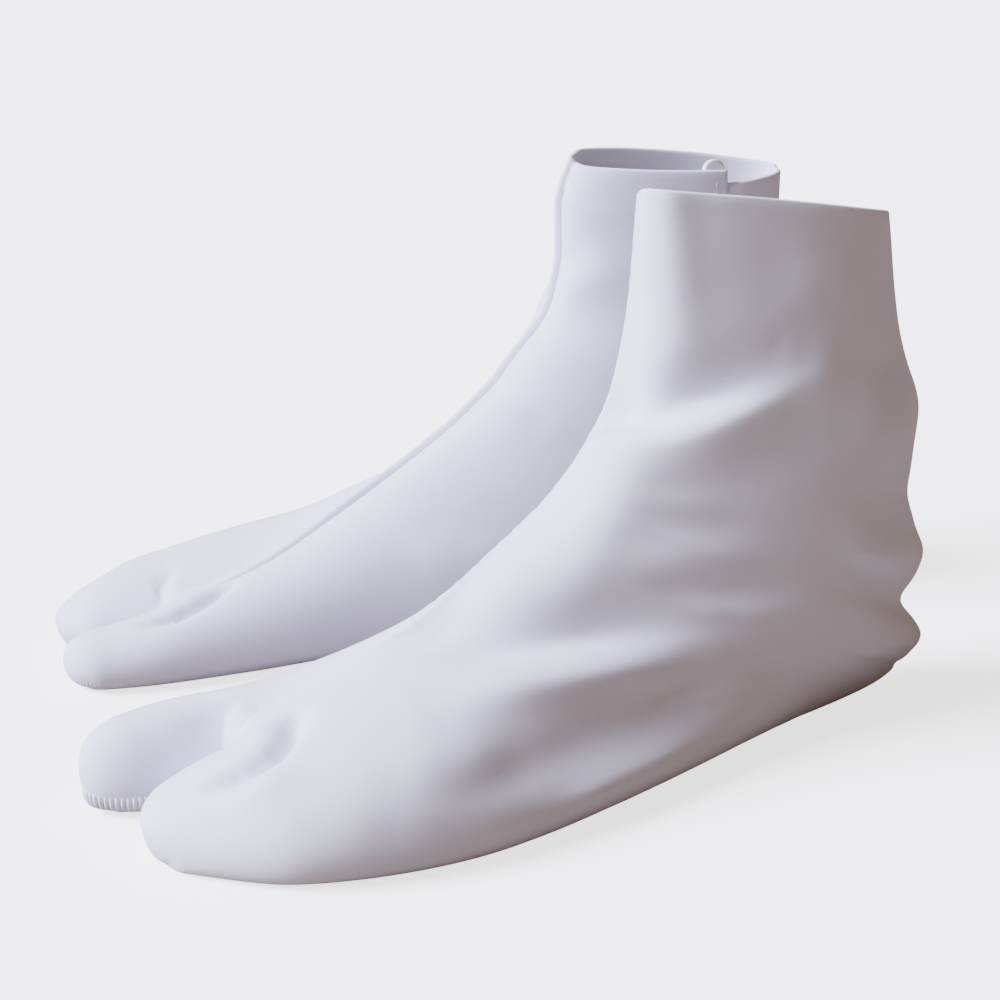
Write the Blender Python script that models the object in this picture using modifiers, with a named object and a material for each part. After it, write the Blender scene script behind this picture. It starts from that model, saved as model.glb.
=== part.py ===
"""A pair of stretch tabi socks, standing side by side and filled out, toes towards -Y.

Each sock is sewn from an outer panel (little toe side, heel and under-flap of the
closure), an inner panel (big toe side) and a sole, and closes on the inner side of
the ankle with four flat clasps. Every panel is a wall through sections that run from
the front seam down to the sole seam or to the back of the leg.

Sizes are in millimetres, in each sock's own frame: side is out from the middle of
the sock, forward runs from the heel to the toes, up is up. They become metres on
the way into Blender.
"""
import math

import bmesh
import bpy
import numpy as np

MM = 0.001

# Driving dimensions, mm
WALL = 1.3              # stretch tricot with its seam allowances
SOLE = 1.5              # sole tricot, doubled
SEAM_GAP = 0.34         # between neighbouring pieces
SIDE_COLUMNS = 7        # points of a section from the top of its dome to the sole seam
WELT_EDGES = {"outer": (1.7, 3.2), "inner": (2.0, 4.2)}     # top and foot of the edge
WELT_RISE = 0.9
CLOSURE_STATIONS = (0, 3, 6, 11, 12)            # sections down the closure, and at each
CLOSURE_WIDTHS = (29.0, 27.0, 25.0, 9.0, 1.2)   # how far it is from the back line
FLAP_LOW = 22.0         # lower end of the under-flap on the back line
FLAP_PLACES = (-2.5, 0.0, 2.0, 9.0, 16.0)       # beside the closure's edge, over the flap
FLAP_DEPTHS = (0.9, 2.1, 3.1, 3.1, 3.1)         # inside the inner panel's face
CLOSURE_GAP = 0.6       # between the two panels' edges at the closure
WRAP_LEAST = 1.0        # narrowest stretch of the heel wrap
CLASP_RADIUS = 4.2      # each clasp is a round plate
CLASP_MIDDLE = 6.4      # from the closure's edge
CLASP_DEPTH = 1.95      # inside the inner panel's face
CLASP_THICKNESS = 0.8
CLASP_CELLS = 6

SECTION_COLUMNS = ("front_forward", "front_up", "back_forward", "back_up",
                   "outer", "inner", "wide_outer", "wide_inner",
                   "sole_outer", "sole_inner", "seam_side", "top_outer", "top_inner",
                   "front_power", "back_power", "steps")
TOE_COLUMNS = ("forward", "outer", "inner", "top_outer", "top_inner", "split")
# A fold is from forward, up to forward, up, then its width and its height.
# A heel crease is its height on the back line, its spread and how far it stands out.
# A clasp is its height on the back line and how far it sits above it.

LEFT = {
    "name": "left",
    "mirror": 1,
    "place": (48.15, 107.33),
    "turn": 3.4,
    "sections": (
        (88, 148, 10, 140, 11, 10, .50, .50, 0, 0, 0, 148, 148, .85, 1.0, 2),
        (89, 124, 6, 113, 16, 13, .50, .50, 0, 0, 0, 124, 124, .85, 1.0, 2),
        (93, 101, -1, 90, 21, 17, .50, .50, 0, 0, 0, 101, 101, .85, 1.0, 3),
        (101, 84, -3.5, 64, 25, 20, .50, .50, 0, 0, 0, 84, 84, .85, 1.0, 4),
        (108, 75.5, -6, 40, 26, 21.5, .50, .50, 0, 0, 0, 75.5, 75.5, .85, 1.0, 4),
        (113, 70.5, -7.5, 15, 26, 22, .50, .50, 0, 0, 0, 70.5, 70.5, .85, 1.0, 1),
        (115, 68.8, -6.9, 10, 26, 22, .50, .50, 0, 0, 0, 68.8, 68.8, .87, 1.1, 1),
        (117, 67.2, -4.5, 6.8, 26, 22, .49, .51, 0, 0, 0, 67.2, 67.2, .90, 1.3, 1),
        (119, 65.8, .5, 4.4, 26, 22, .48, .50, 5, 4.8, 0, 65.8, 65.8, .93, 1.5, 1),
        (121, 64.3, 8, 2.2, 26, 22, .50, .52, 7.5, 7, 0, 64.3, 64.3, .95, 1.65, 1),
        (123, 62.8, 16, .8, 26, 22, .53, .54, 9, 8.4, 0, 62.8, 62.8, .97, 1.7, 1),
        (125.5, 61.1, 26, 0, 26.5, 22, .57, .58, 10.3, 9.4, 0, 61.1, 61.1, 1.0, 1.65, 2),
        (131, 57.7, 40, 0, 28.5, 22.5, .66, .66, 12.5, 11, 0, 57.7, 57.7, 1.0, 1.5, 3),
        (139.5, 52, 68, 0, 32.5, 23.5, .76, .76, 18, 14, -.5, 52, 52, 1.0, 1.3, 2),
        (149, 45.7, 100, 0, 39, 25, .78, .78, 27, 16.5, -1.5, 45.7, 45.7, 1.0, 1.15, 2),
        (158, 41, 130, 0, 45.5, 28, .77, .77, 37, 20, -3, 41, 41, 1.0, 1.15, 2),
        (170, 34.6, 156, 0, 49, 31, .74, .74, 43, 24.5, -5, 36.5, 34.8, 1.0, 1.15, 2),
        (184, 27.8, 180, 0, 47, 33.5, .70, .70, 41, 27, -7, 32.5, 29, 1.0, 1.15, 2),
        (193, 24, 193, 0, 43.8, 34.4, .66, .66, 37.3, 27.3, -8, 29, 26.5, 1.0, 1.15, 1),
    ),
    "toes": (
        (193, 43.8, 34.4, 29, 26.5, 0.3),
        (202, 40, 34.6, 26, 26, 0.4),
        (208, 36, 34.5, 24, 26, 1.5),
        (214, 30.5, 34, 21, 25.5, 3.0),
        (218, 26, 33, 18.5, 24.5, 4.2),
    ),
    "outer_tip": (227.5, 10.0, 8.5),
    "inner_tip": (234.0, 22.0, 11.5),
    "heel_creases": ((86, 9, 2.5), (61, 7, -2.0), (42, 6, 3.5), (28, 4, -5.0), (15, 5, 4.0)),
    "neck_rise": {"outer": 3.0, "inner": 0.0},
    "flap_drop": 3.0,
    "clasps": ((134.0, 0.0), (108.0, 0.0), (82.0, 0.0), (56.0, 0.0)),
    "outer_folds": (
        (106, 95, 62, 111, 7, 2.2),
        (104, 103, 70, 116, 7, -1.6),
        (140, 45, 92, 37, 8, 1.6),
        (134, 59, 88, 52, 8, -1.5),
        (10, 31, 42, 34, 6, -2.2),
        (20, 46, 55, 60, 8, 1.2),
    ),
    "inner_folds": (
        (108, 92, 68, 106, 8, 1.8),
        (12, 30, 44, 35, 6, -1.8),
        (122, 52, 84, 42, 8, 1.2),
    ),
}

RIGHT = {
    "name": "right",
    "mirror": -1,
    "place": (-49.85, 113.73),
    "turn": 3.3,
    "sections": (
        (66.8, 146, -10, 140, 14, 13, .50, .50, 0, 0, 0, 146, 146, .85, 1.0, 2),
        (69, 122, -10, 113, 18, 15, .50, .50, 0, 0, 0, 122, 122, .85, 1.0, 2),
        (74, 100, -12, 90, 22, 18, .50, .50, 0, 0, 0, 100, 100, .85, 1.0, 3),
        (84, 85, -12, 64, 25, 21, .50, .50, 0, 0, 0, 85, 85, .85, 1.0, 3),
        (91, 76, -12, 40, 27, 23, .52, .52, 0, 0, 0, 76, 76, .85, 1.0, 3),
        (96, 71.5, -11, 15, 27, 23, .54, .54, 0, 0, 0, 71.5, 71.5, .85, 1.0, 1),
        (98, 69.7, -9.7, 10, 27, 23, .53, .53, 0, 0, 0, 69.7, 69.7, .87, 1.1, 1),
        (100, 67.9, -7, 6.5, 27, 23, .52, .52, 0, 0, 0, 67.9, 67.9, .90, 1.3, 1),
        (102, 66.3, -1.5, 4, 27, 23, .52, .52, 5, 4.8, 0, 66.3, 66.3, .93, 1.5, 1),
        (104, 64.7, 6, 2, 27, 23, .53, .53, 7.5, 7, 0, 64.7, 64.7, .95, 1.65, 1),
        (106, 63.1, 14, .7, 27, 23, .56, .56, 9, 8.4, 0, 63.1, 63.1, .97, 1.7, 1),
        (109, 60.9, 24, 0, 27.5, 23, .61, .61, 10.3, 9.4, 0, 60.9, 60.9, 1.0, 1.65, 2),
        (115, 56.6, 40, 0, 29.5, 23.5, .70, .70, 13, 11, 0, 56.6, 56.6, 1.0, 1.5, 3),
        (126, 49.5, 68, 0, 33, 24.5, .78, .78, 21, 15.5, -.5, 49.5, 49.5, 1.0, 1.3, 2),
        (139, 41.5, 100, 0, 38.5, 26, .78, .78, 29, 18, -1.5, 42.5, 41.5, 1.0, 1.15, 2),
        (152, 34, 130, 0, 45, 28.5, .74, .74, 37, 21, -3, 36, 34.5, 1.0, 1.15, 2),
        (165, 26.5, 154, 0, 48, 31.5, .70, .70, 42, 25, -5, 32, 28.5, 1.0, 1.15, 2),
        (181, 20.5, 178, 0, 46, 34, .68, .64, 40, 28, -7, 29.3, 24.5, 1.0, 1.15, 2),
        (193, 17.2, 193, 0, 43.2, 34.4, .66, .61, 37.2, 28, -8, 26.8, 22.2, 1.0, 1.15, 1),
    ),
    "toes": (
        (193, 43.2, 34.4, 26.8, 22.2, 0.3),
        (202, 39.5, 34.6, 25, 20.5, 0.4),
        (208, 36, 34.5, 24, 19, 1.5),
        (214, 31, 34, 22.5, 18, 3.0),
        (218, 27, 33, 21, 17.2, 4.2),
    ),
    "outer_tip": (231.5, 11.0, 10.5),
    "inner_tip": (232.5, 21.0, 8.0),
    "heel_creases": ((88, 9, 1.5), (46, 7, 2.0), (31, 5, -3.0), (17, 6, 2.5)),
    "neck_rise": {"outer": 5.0, "inner": -1.0},
    "flap_drop": 4.5,
    "clasps": ((138.0, 1.2), (109.0, 0.0), (82.0, 0.0), (56.0, 0.0)),
    "outer_folds": (
        (88, 92, 46, 106, 8, 1.8),
        (6, 34, 36, 40, 7, -1.8),
        (122, 46, 80, 40, 9, 1.3),
    ),
    "inner_folds": (
        (86, 100, 50, 112, 8, 1.4),
        (84, 108, 60, 120, 6, -1.2),
        (4, 34, 34, 42, 7, -1.6),
    ),
}

SOLE_START_SECTION = 7      # the sole's heel end
CLEFT_FORWARD = 202.0       # where the front seam has come down to the sole
CLEFT_DROP = 9.0            # length over which it comes down
CLEFT_STEPS = (0.0, 0.45, 0.78, 0.95, 1.0)
TOE_FORWARDS = (205.0, 209.0, 213.5, 218.0)
NOSE_START = TOE_FORWARDS[-1]   # from here each toe closes to its tip
NOSE_FLAT = 0.55            # part of the nose length that still stands on the sole
NOSE_SHARES = (0.3, NOSE_FLAT, 0.76, 0.9, 0.975, 1.0)
NOSE_FULLNESS = 0.7         # of the big toe, which is blunt
NOSE_SLANT = 0.6            # of the little toes, whose outline slants to the tip
CLEFT_ROLL = {"outer": 4.0, "inner": 8.0}
CLEFT_ROLL_RUN = 8.0
FLANK_LEAN = 0.4            # of the cleft's walls, before they roll under
SEAM_TUCK = 1.5             # from where a panel meets the floor to its sole seam
FLANK_TUCK = 1.0
TUCK_UP = 1.0               # height of the tucked edge, as a share of the section
EDGE_STRIP = 1.5            # last, narrow cell beside a seam
FULL_RUN = 30.0             # section length under which its cells shrink with it
RIDGE_LEAST = 5.0           # from the foot of the welt to the first side column
NECK_ROWS = 8               # section rows the neck's rise fades over
NECK_FADE = 3.0
FOLD_FADE = 8.0             # from a free edge
TOE_SETBACK = np.array((0.0, 1.2, 0.0))     # of the sole from the front of its seam
FLANK_CLEAR = np.array((0.9, 0.0, 0.0))     # and from the steep walls of the cleft
APEX_CLEAR = np.array((1.6, -0.9, 0.0))
HEEL_CLEAR = np.array((0.0, 2.2, -1.0))
OUTER_TOE_COLUMNS = (0.0, 0.33, 0.67, 1.0)      # of the sole, across the little toes
INNER_TOE_COLUMNS = (0.0, 0.5, 1.0)
CLEFT_SKIPPED = 3           # section rows so close to the cleft that the sole has none of them
LEVEL = 0.5                 # a back line lower than this lies on the sole
DENSE = 60                  # points of a half section before it is cut into cells


def slopes(x, y):
    """Slopes of a smooth curve through the points that never overshoots them."""
    h = np.diff(x)
    d = np.diff(y) / h
    m = np.zeros_like(y)
    for k in range(1, len(x) - 1):
        if d[k - 1] * d[k] > 0:
            w1 = 2 * h[k] + h[k - 1]
            w2 = h[k] + 2 * h[k - 1]
            m[k] = (w1 + w2) / (w1 / d[k - 1] + w2 / d[k])
    m[0], m[-1] = d[0], d[-1]
    return m


def smooth(x, y, at):
    """The value at a place on that curve."""
    x = np.asarray(x, float)
    y = np.asarray(y, float)
    m = slopes(x, y)
    k = int(np.clip(np.searchsorted(x, at) - 1, 0, len(x) - 2))
    h = x[k + 1] - x[k]
    t = (at - x[k]) / h
    return ((1 + 2 * t) * (1 - t) ** 2 * y[k] + t * (1 - t) ** 2 * h * m[k]
            + t * t * (3 - 2 * t) * y[k + 1] + t * t * (t - 1) * h * m[k + 1])


def row_at(columns, rows, at):
    """A table's row at a fractional place, each column on a smooth curve."""
    places = range(len(rows))
    return {name: smooth(places, [row[c] for row in rows], at)
            for c, name in enumerate(columns)}


def section_stations(sock):
    """Fractional places of the sections, from the neck to the cleft."""
    stations = []
    for k, row in enumerate(sock["sections"][:-1]):
        steps = row[SECTION_COLUMNS.index("steps")]
        stations += [k + n / steps for n in range(steps)]
    return stations


def leg_section(sock, station):
    """The section at a station of the leg, the heel or the instep."""
    row = row_at(SECTION_COLUMNS, sock["sections"], station)
    back = row["back_forward"]
    for up, spread, out in sock["heel_creases"]:
        back -= out * math.exp(-((row["back_up"] - up) / spread) ** 2)
    if row["back_up"] <= LEVEL:
        back = row["back_forward"]
    section = {"front": (row["front_forward"], row["front_up"]),
               "back": (back, max(row["back_up"], 0.0)),
               "seam_side": row["seam_side"], "standing": station >= SOLE_START_SECTION,
               "front_power": row["front_power"], "back_power": row["back_power"]}
    for part in ("outer", "inner"):
        section[part] = {"wide": row[part], "wide_at": row["wide_" + part],
                         "sole": row["sole_" + part], "top": max(row["top_" + part], row["front_up"]),
                         "split": SEAM_GAP, "seam_up": row["front_up"], "roll": 0.0}
    return section


def toe_section(sock, forward, seam_up):
    """A section across the toes, before they close to their tips."""
    rows = sock["toes"]
    last = sock["sections"][-1]
    values = {name: smooth([row[0] for row in rows], [row[c] for row in rows], forward)
              for c, name in enumerate(TOE_COLUMNS)}
    section = {"front": (forward, seam_up), "back": (forward, 0.0),
               "seam_side": last[SECTION_COLUMNS.index("seam_side")], "standing": True,
               "front_power": last[SECTION_COLUMNS.index("front_power")],
               "back_power": last[SECTION_COLUMNS.index("back_power")]}
    for part in ("outer", "inner"):
        inset = last[SECTION_COLUMNS.index(part)] - last[SECTION_COLUMNS.index("sole_" + part)]
        part_roll = CLEFT_ROLL[part] * min(1.0, max(0.0, (forward - CLEFT_FORWARD) / CLEFT_ROLL_RUN))
        section[part] = {"wide": values[part], "wide_at": last[SECTION_COLUMNS.index("wide_" + part)],
                         "sole": values[part] - inset, "top": values["top_" + part],
                         "split": values["split"], "seam_up": seam_up,
                         "roll": FLANK_LEAN + part_roll}
    return section


def half_section(section, part):
    """Dense points (side, forward, up) of one panel's section, from its front seam down,
    and the number of the point on the dome's top.

    The upper part is a dome about the middle of the panel. Where the toes part, the
    front seam lies in the valley between two domes, and past the cleft the dome's
    inner flank runs down to the sole.
    """
    form = section[part]
    sign = 1 if part == "outer" else -1
    front = np.array(section["front"])
    back = np.array(section["back"])
    seam = sign * section["seam_side"] + form["split"] / 2
    rise = front[1] - back[1]
    if form["top"] > front[1] + 1e-6 and rise > 1e-6:
        top = front + (front - back) * (form["top"] - front[1]) / rise
    elif rise <= 1e-6:
        top = np.array((front[0], form["top"]))
    else:
        top = front
    wide_up = top[1] + (back[1] - top[1]) * form["wide_at"]
    level = (form["seam_up"] - wide_up) / (top[1] - wide_up)
    level = min(1.0, max(0.0, level))
    offset = math.sqrt(1 - level ** 2)
    wide = form["wide"]
    flank = (2 * seam - wide * (1 - offset)) / (1 + offset)
    middle = (wide + flank) / 2
    radius = (wide - flank) / 2
    angles = np.linspace(0, math.pi / 2, DENSE)
    upper_y = radius * np.sin(angles) ** section["front_power"]
    upper_p = form["wide_at"] * (1 - np.cos(angles))
    low_p = form["wide_at"] + (1 - form["wide_at"]) * np.sin(angles)
    outer_low = form["sole"] + (wide - form["sole"]) * np.cos(angles) ** section["back_power"]
    outer = np.concatenate([np.c_[middle + upper_y, upper_p], np.c_[outer_low, low_p][1:]])
    if section["standing"]:
        edge = max(form["sole"] - SEAM_TUCK, 0.3 * form["sole"])
        outer = np.vstack([outer, (edge, TUCK_UP)])
    flank_sole = flank + form["roll"]
    inner_low = flank_sole + (flank - flank_sole) * np.cos(angles)
    inner = np.concatenate([np.c_[middle - upper_y, upper_p], np.c_[inner_low, low_p][1:]])
    if form["roll"] > FLANK_LEAN + FLANK_TUCK and form["seam_up"] <= 0:
        inner = np.vstack([inner, (flank_sole + FLANK_TUCK, TUCK_UP)])
    inner_up = top[1] + (back[1] - top[1]) * inner[:, 1]
    keep = inner_up > form["seam_up"] + 1e-6 if form["seam_up"] > 0 else np.ones(len(inner), bool)
    keep[0] = False
    flank_points = inner[keep][::-1]
    if form["seam_up"] > 0 and form["top"] > front[1] + 0.05:
        seam_p = (top[1] - form["seam_up"]) / (top[1] - back[1])
        flank_points = np.vstack([(max(seam, flank), seam_p), flank_points])
    if not len(flank_points):
        outer = outer.copy()
        outer[0, 0] = seam
    line = np.vstack([flank_points, outer]) if len(flank_points) else outer
    along = top + (back - top) * line[:, 1:2]
    return np.c_[sign * line[:, 0], along], len(flank_points)


def nose_section(sock, part, share):
    """A section of one toe between the start of its nose and its tip."""
    start = toe_section(sock, NOSE_START, 0.0)
    form = dict(start[part])
    sign = 1 if part == "outer" else -1
    tip_forward, tip_side, tip_up = sock[part + "_tip"]
    round_close = math.sqrt(max(0.0, 1 - share * share))
    slant_close = (1 - share) ** NOSE_SLANT
    close = slant_close if part == "outer" else round_close
    fullness = 1.0 if part == "outer" else NOSE_FULLNESS
    forward = NOSE_START + (tip_forward - NOSE_START) * share
    flank = sign * start["seam_side"] + form["split"] / 2
    flat = math.sqrt(max(0.0, 1 - (share / NOSE_FLAT) ** 2))
    under = max(0.0, (share - NOSE_FLAT) / (1 - NOSE_FLAT))
    return {"forward": forward, "middle": tip_side, "outer": (form["wide"] - tip_side) * close,
            "flank": (tip_side - flank) * round_close,
            "top": tip_up + (form["top"] - tip_up) * close ** fullness,
            "bottom": tip_up * (1 - math.sqrt(max(0.0, 1 - under ** 2))),
            "tip_up": tip_up, "wide_at": form["wide_at"],
            "sole_outer": max(0.0, (form["sole"] - SEAM_TUCK - tip_side) * flat),
            "sole_flank": max(0.0, (tip_side - flank - form["roll"] - FLANK_TUCK) * flat),
            "start": form, "sign": sign, "share": share}


def nose_line(nose):
    """Dense points of a nose section, from its inner edge over the top to its outer edge."""
    angles = np.linspace(0, math.pi / 2, DENSE)
    start_wide = nose["start"]["top"] * (1 - nose["wide_at"])
    wide_up = start_wide + (nose["tip_up"] - start_wide) * nose["share"]
    wide_up = min(max(wide_up, nose["bottom"]), nose["top"])

    def side(width, sole):
        upper = np.c_[width * np.sin(angles), wide_up + (nose["top"] - wide_up) * np.cos(angles)]
        edge = min(sole + SEAM_TUCK, width) if sole > 0 else 0.0
        lower = np.c_[edge + (width - edge) * np.cos(angles) ** 1.1,
                      wide_up - (wide_up - nose["bottom"]) * np.sin(angles)][1:]
        points = np.concatenate([upper, lower])
        if sole > 0:
            points = np.vstack([points, (sole, nose["bottom"])])
        return points

    outer = side(nose["outer"], nose["sole_outer"])
    flank = side(nose["flank"], nose["sole_flank"]) * (-1, 1)
    line = np.concatenate([flank[::-1], outer[1:]])
    points = np.c_[nose["sign"] * (nose["middle"] + line[:, 0]),
                   np.full(len(line), nose["forward"]), line[:, 1]]
    return points, len(flank) - 1


def lengths(line):
    return np.concatenate([[0.0], np.cumsum(np.linalg.norm(np.diff(line, axis=0), axis=1))])


def at_lengths(line, places):
    run = lengths(line)
    return np.c_[tuple(np.interp(places, run, line[:, c]) for c in range(3))]


def panel_lines(sock, part):
    """All section lines of a panel, from the neck to the tip of its toe."""
    lines = [half_section(leg_section(sock, s), part) for s in section_stations(sock)]
    cleft_up = sock["sections"][-1][1]
    for share in CLEFT_STEPS:
        forward = CLEFT_FORWARD - CLEFT_DROP * (1 - share)
        seam_up = cleft_up * math.sqrt(1 - share ** 2)
        lines.append(half_section(toe_section(sock, forward, seam_up), part))
    for forward in TOE_FORWARDS:
        lines.append(half_section(toe_section(sock, forward, 0.0), part))
    for share in NOSE_SHARES:
        lines.append(nose_line(nose_section(sock, part, share)))
    return lines


def closure_width(station):
    """How far the heel wrap reaches from the back line to the closure's edge."""
    if station > CLOSURE_STATIONS[-1]:
        return 0.0
    return smooth(CLOSURE_STATIONS, CLOSURE_WIDTHS, station)


def normals(points):
    """Unit normals of a grid of points; the sign follows its two directions."""
    down = np.gradient(points, axis=0)
    across = np.gradient(points, axis=1)
    normal = np.cross(down, across)
    size = np.linalg.norm(normal, axis=2, keepdims=True)
    return normal / np.maximum(size, 1e-9)


def outward(points, part):
    sign = -1 if part == "outer" else 1
    return sign * normals(points)


def fold_height(folds, forward, up):
    """Height of the folds at a point of the side: ridges above zero, troughs below."""
    total = 0.0
    for from_forward, from_up, to_forward, to_up, width, height in folds:
        run = np.array((to_forward - from_forward, to_up - from_up), float)
        here = np.array((forward - from_forward, up - from_up))
        along = np.clip(here @ run / (run @ run), 0, 1)
        away = np.linalg.norm(here - along * run)
        total += height * math.exp(-(away / width) ** 2)
    return total


def add_grid(mesh, points, facing):
    """Adds a grid's faces, turned outwards, to a bmesh."""
    rows, columns = points.shape[:2]
    verts = [[mesh.verts.new(points[i, j] * MM) for j in range(columns)] for i in range(rows)]
    for i in range(rows - 1):
        for j in range(columns - 1):
            corners = (verts[i][j], verts[i + 1][j], verts[i + 1][j + 1], verts[i][j + 1])
            mesh.faces.new(corners if facing > 0 else corners[::-1])


def into_frame(sock, points):
    """From side, forward, up to the sock object's X, Y, Z."""
    return np.stack([sock["mirror"] * points[..., 0], -points[..., 1], points[..., 2]], axis=-1)


def panel_material(name, colour, roughness):
    material = bpy.data.materials.new(name)
    material.use_nodes = True
    shader = material.node_tree.nodes["Principled BSDF"]
    shader.inputs["Base Color"].default_value = (*colour, 1)
    shader.inputs["Roughness"].default_value = roughness
    shader.inputs["Metallic"].default_value = 0.0
    return material


def wall_object(name, grids, sock, parent, collection, material, thickness):
    """A wall from grids of outer points, given its thickness inwards."""
    mesh = bmesh.new()
    for points, facing in grids:
        add_grid(mesh, into_frame(sock, points), facing * sock["mirror"])
    bmesh.ops.remove_doubles(mesh, verts=mesh.verts, dist=0.00002)
    data = bpy.data.meshes.new(name)
    mesh.to_mesh(data)
    mesh.free()
    data.shade_smooth()
    piece = bpy.data.objects.new(name, data)
    collection.objects.link(piece)
    piece.parent = parent
    piece.data.materials.append(material)
    wall = piece.modifiers.new("Wall", "SOLIDIFY")
    wall.thickness = thickness * MM
    wall.offset = -1
    return piece


def panel_grid(sock, part):
    """The panel's outer points: its form, the seam welt and the folds."""
    stations = section_stations(sock)
    rows = []
    for i, (line, top) in enumerate(panel_lines(sock, part)):
        run = lengths(line)
        end = run[-1]
        if part == "inner" and i < len(stations) and closure_width(stations[i]) > WRAP_LEAST:
            end -= closure_width(stations[i]) + CLOSURE_GAP
        welt, foot = WELT_EDGES[part]
        scale = min(1.0, end / FULL_RUN)
        ridge = max(run[top], (foot + RIDGE_LEAST) * scale)
        side = np.linspace(ridge, end - EDGE_STRIP * scale, SIDE_COLUMNS)
        places = np.concatenate([[0.0, welt * scale, foot * scale, (foot * scale + ridge) / 2],
                                 side, [end]])
        rows.append(at_lengths(line, places))
    points = np.array(rows)
    last = points.shape[1] - 1
    for i in range(NECK_ROWS):
        rise = sock["neck_rise"][part] * math.exp(-(i / NECK_FADE) ** 2)
        points[i, :, 2] += rise * np.sin(np.linspace(0, math.pi, last + 1))
    out = outward(points, part)
    raised = points.copy()
    for i in range(points.shape[0]):
        for j in range(points.shape[1]):
            height = fold_height(sock[part + "_folds"], points[i, j, 1], points[i, j, 2])
            from_edge = np.linalg.norm(points[i, j] - points[i, -1])
            clear = FLAP_PLACES[-1] if part == "inner" and i < len(stations) else 0.0
            height *= min(1.0, j / 4) * min(1.0, max(0.0, (from_edge - clear) / FOLD_FADE))
            if part == "outer" and j < 2 and i < len(stations) - 2:
                height += WELT_RISE
            raised[i, j] += out[i, j] * height
    return raised


def surface_rows(sock, part, stations, places_at):
    """Points and outward normals of a panel's section lines at places from the back."""
    rows = []
    for station in stations:
        line, _ = half_section(leg_section(sock, station), part)
        rows.append(at_lengths(line, lengths(line)[-1] - np.array(places_at(station))))
    points = np.array(rows)
    return points, outward(points[:, ::-1], part)[:, ::-1]


def wrap_grids(sock):
    """The outer panel's way round the heel and under the inner panel, in three grids."""
    stations = [s for s in section_stations(sock) if closure_width(s) > WRAP_LEAST]
    backs = [leg_section(sock, s)["back"][1] for s in stations]
    flap_rows = sum(back > FLAP_LOW for back in backs)

    def wrap_places(station):
        width = closure_width(station)
        return (0.0, min(EDGE_STRIP, width * 0.3), width * 0.55, width * 0.8, width)

    def flap_places(station):
        return [closure_width(station) + place for place in FLAP_PLACES]

    wrap, wrap_out = surface_rows(sock, "inner", stations, wrap_places)
    flap, flap_out = surface_rows(sock, "inner", stations[:flap_rows], flap_places)
    for column, depth in enumerate(FLAP_DEPTHS):
        flap[:, column] -= flap_out[:, column] * depth
    wrap[:flap_rows, -2:] = flap[:, :2]
    for i in range(NECK_ROWS):
        drop = sock["flap_drop"] * math.exp(-(i / NECK_FADE) ** 2)
        shares = [place / closure_width(stations[i]) for place in wrap_places(stations[i])]
        wrap[i, :, 2] -= drop * np.array(shares)
        flap[i, 1:, 2] -= drop
    return wrap, flap[:, 1:]


def sole_grids(sock, outer, inner, wrap):
    """The sole's underside, from its seam round the heel and both toes: the foot's grid
    from the heel to the cleft, and one for each toe."""
    count = len(section_stations(sock))
    cleft = count + len(CLEFT_STEPS) - 1
    last = cleft + 1 + len(TOE_FORWARDS) + NOSE_SHARES.index(NOSE_FLAT)
    heel = section_stations(sock).index(SOLE_START_SECTION)
    inner_edge = [wrap[i, 0] if i < len(wrap) else inner[i, -1] for i in range(last)]
    toe = range(cleft + 1, last)
    loop = [outer[heel, -1] + HEEL_CLEAR]
    loop += [outer[i, -1] for i in range(heel + 1, last)]
    loop += [outer[last, 0] - TOE_SETBACK]
    loop += [outer[i, 0] + FLANK_CLEAR for i in reversed(toe)]
    loop += [outer[cleft, 0] + APEX_CLEAR, inner[cleft, 0] + APEX_CLEAR * (-1, 1, 1)]
    loop += [inner[i, 0] - FLANK_CLEAR for i in toe]
    loop += [inner[last, 0] - TOE_SETBACK]
    loop += [inner_edge[i] for i in range(last - 1, heel, -1)]
    loop = np.array(loop)
    loop[:, :2] = inset(loop[:, :2], SEAM_GAP)

    seam = list(loop)
    heel_tip = seam.pop(0)
    outer_side = [seam.pop(0) for _ in range(heel + 1, last)]
    inner_side = [seam.pop() for _ in range(heel + 1, last)]
    outer_tip, inner_tip = seam.pop(0), seam.pop()
    outer_flank = [seam.pop(0) for _ in toe][::-1]
    inner_flank = [seam.pop() for _ in toe][::-1]
    outer_apex, inner_apex = seam

    def across(start, end, shares):
        return [start + (end - start) * share for share in shares]

    rows = len(outer_side) - len(toe)
    width = outer_side[rows - 1][0] - inner_side[rows - 1][0]
    part_at = (outer_side[rows - 1][0] - outer_apex[0]) / width
    rest_at = (outer_side[rows - 1][0] - inner_apex[0]) / width
    shares = ([part_at * share for share in OUTER_TOE_COLUMNS]
              + [rest_at + (1 - rest_at) * share for share in INNER_TOE_COLUMNS])
    foot = [[heel_tip] * len(shares)]
    foot += [across(outer_side[i], inner_side[i], shares) for i in range(rows - CLEFT_SKIPPED)]
    foot += [across(outer_side[rows - 1], outer_apex, OUTER_TOE_COLUMNS)
             + across(inner_apex, inner_side[rows - 1], INNER_TOE_COLUMNS)]
    outer_columns = len(OUTER_TOE_COLUMNS)
    outer_toe = [foot[-1][:outer_columns]]
    inner_toe = [foot[-1][outer_columns:]]
    for i in range(len(toe)):
        outer_toe.append(across(outer_side[rows + i], outer_flank[i], OUTER_TOE_COLUMNS))
        inner_toe.append(across(inner_flank[i], inner_side[rows + i], INNER_TOE_COLUMNS))
    outer_toe.append([outer_tip] * outer_columns)
    inner_toe.append([inner_tip] * len(INNER_TOE_COLUMNS))
    return [np.array(grid) for grid in (foot, outer_toe, inner_toe)]


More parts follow.
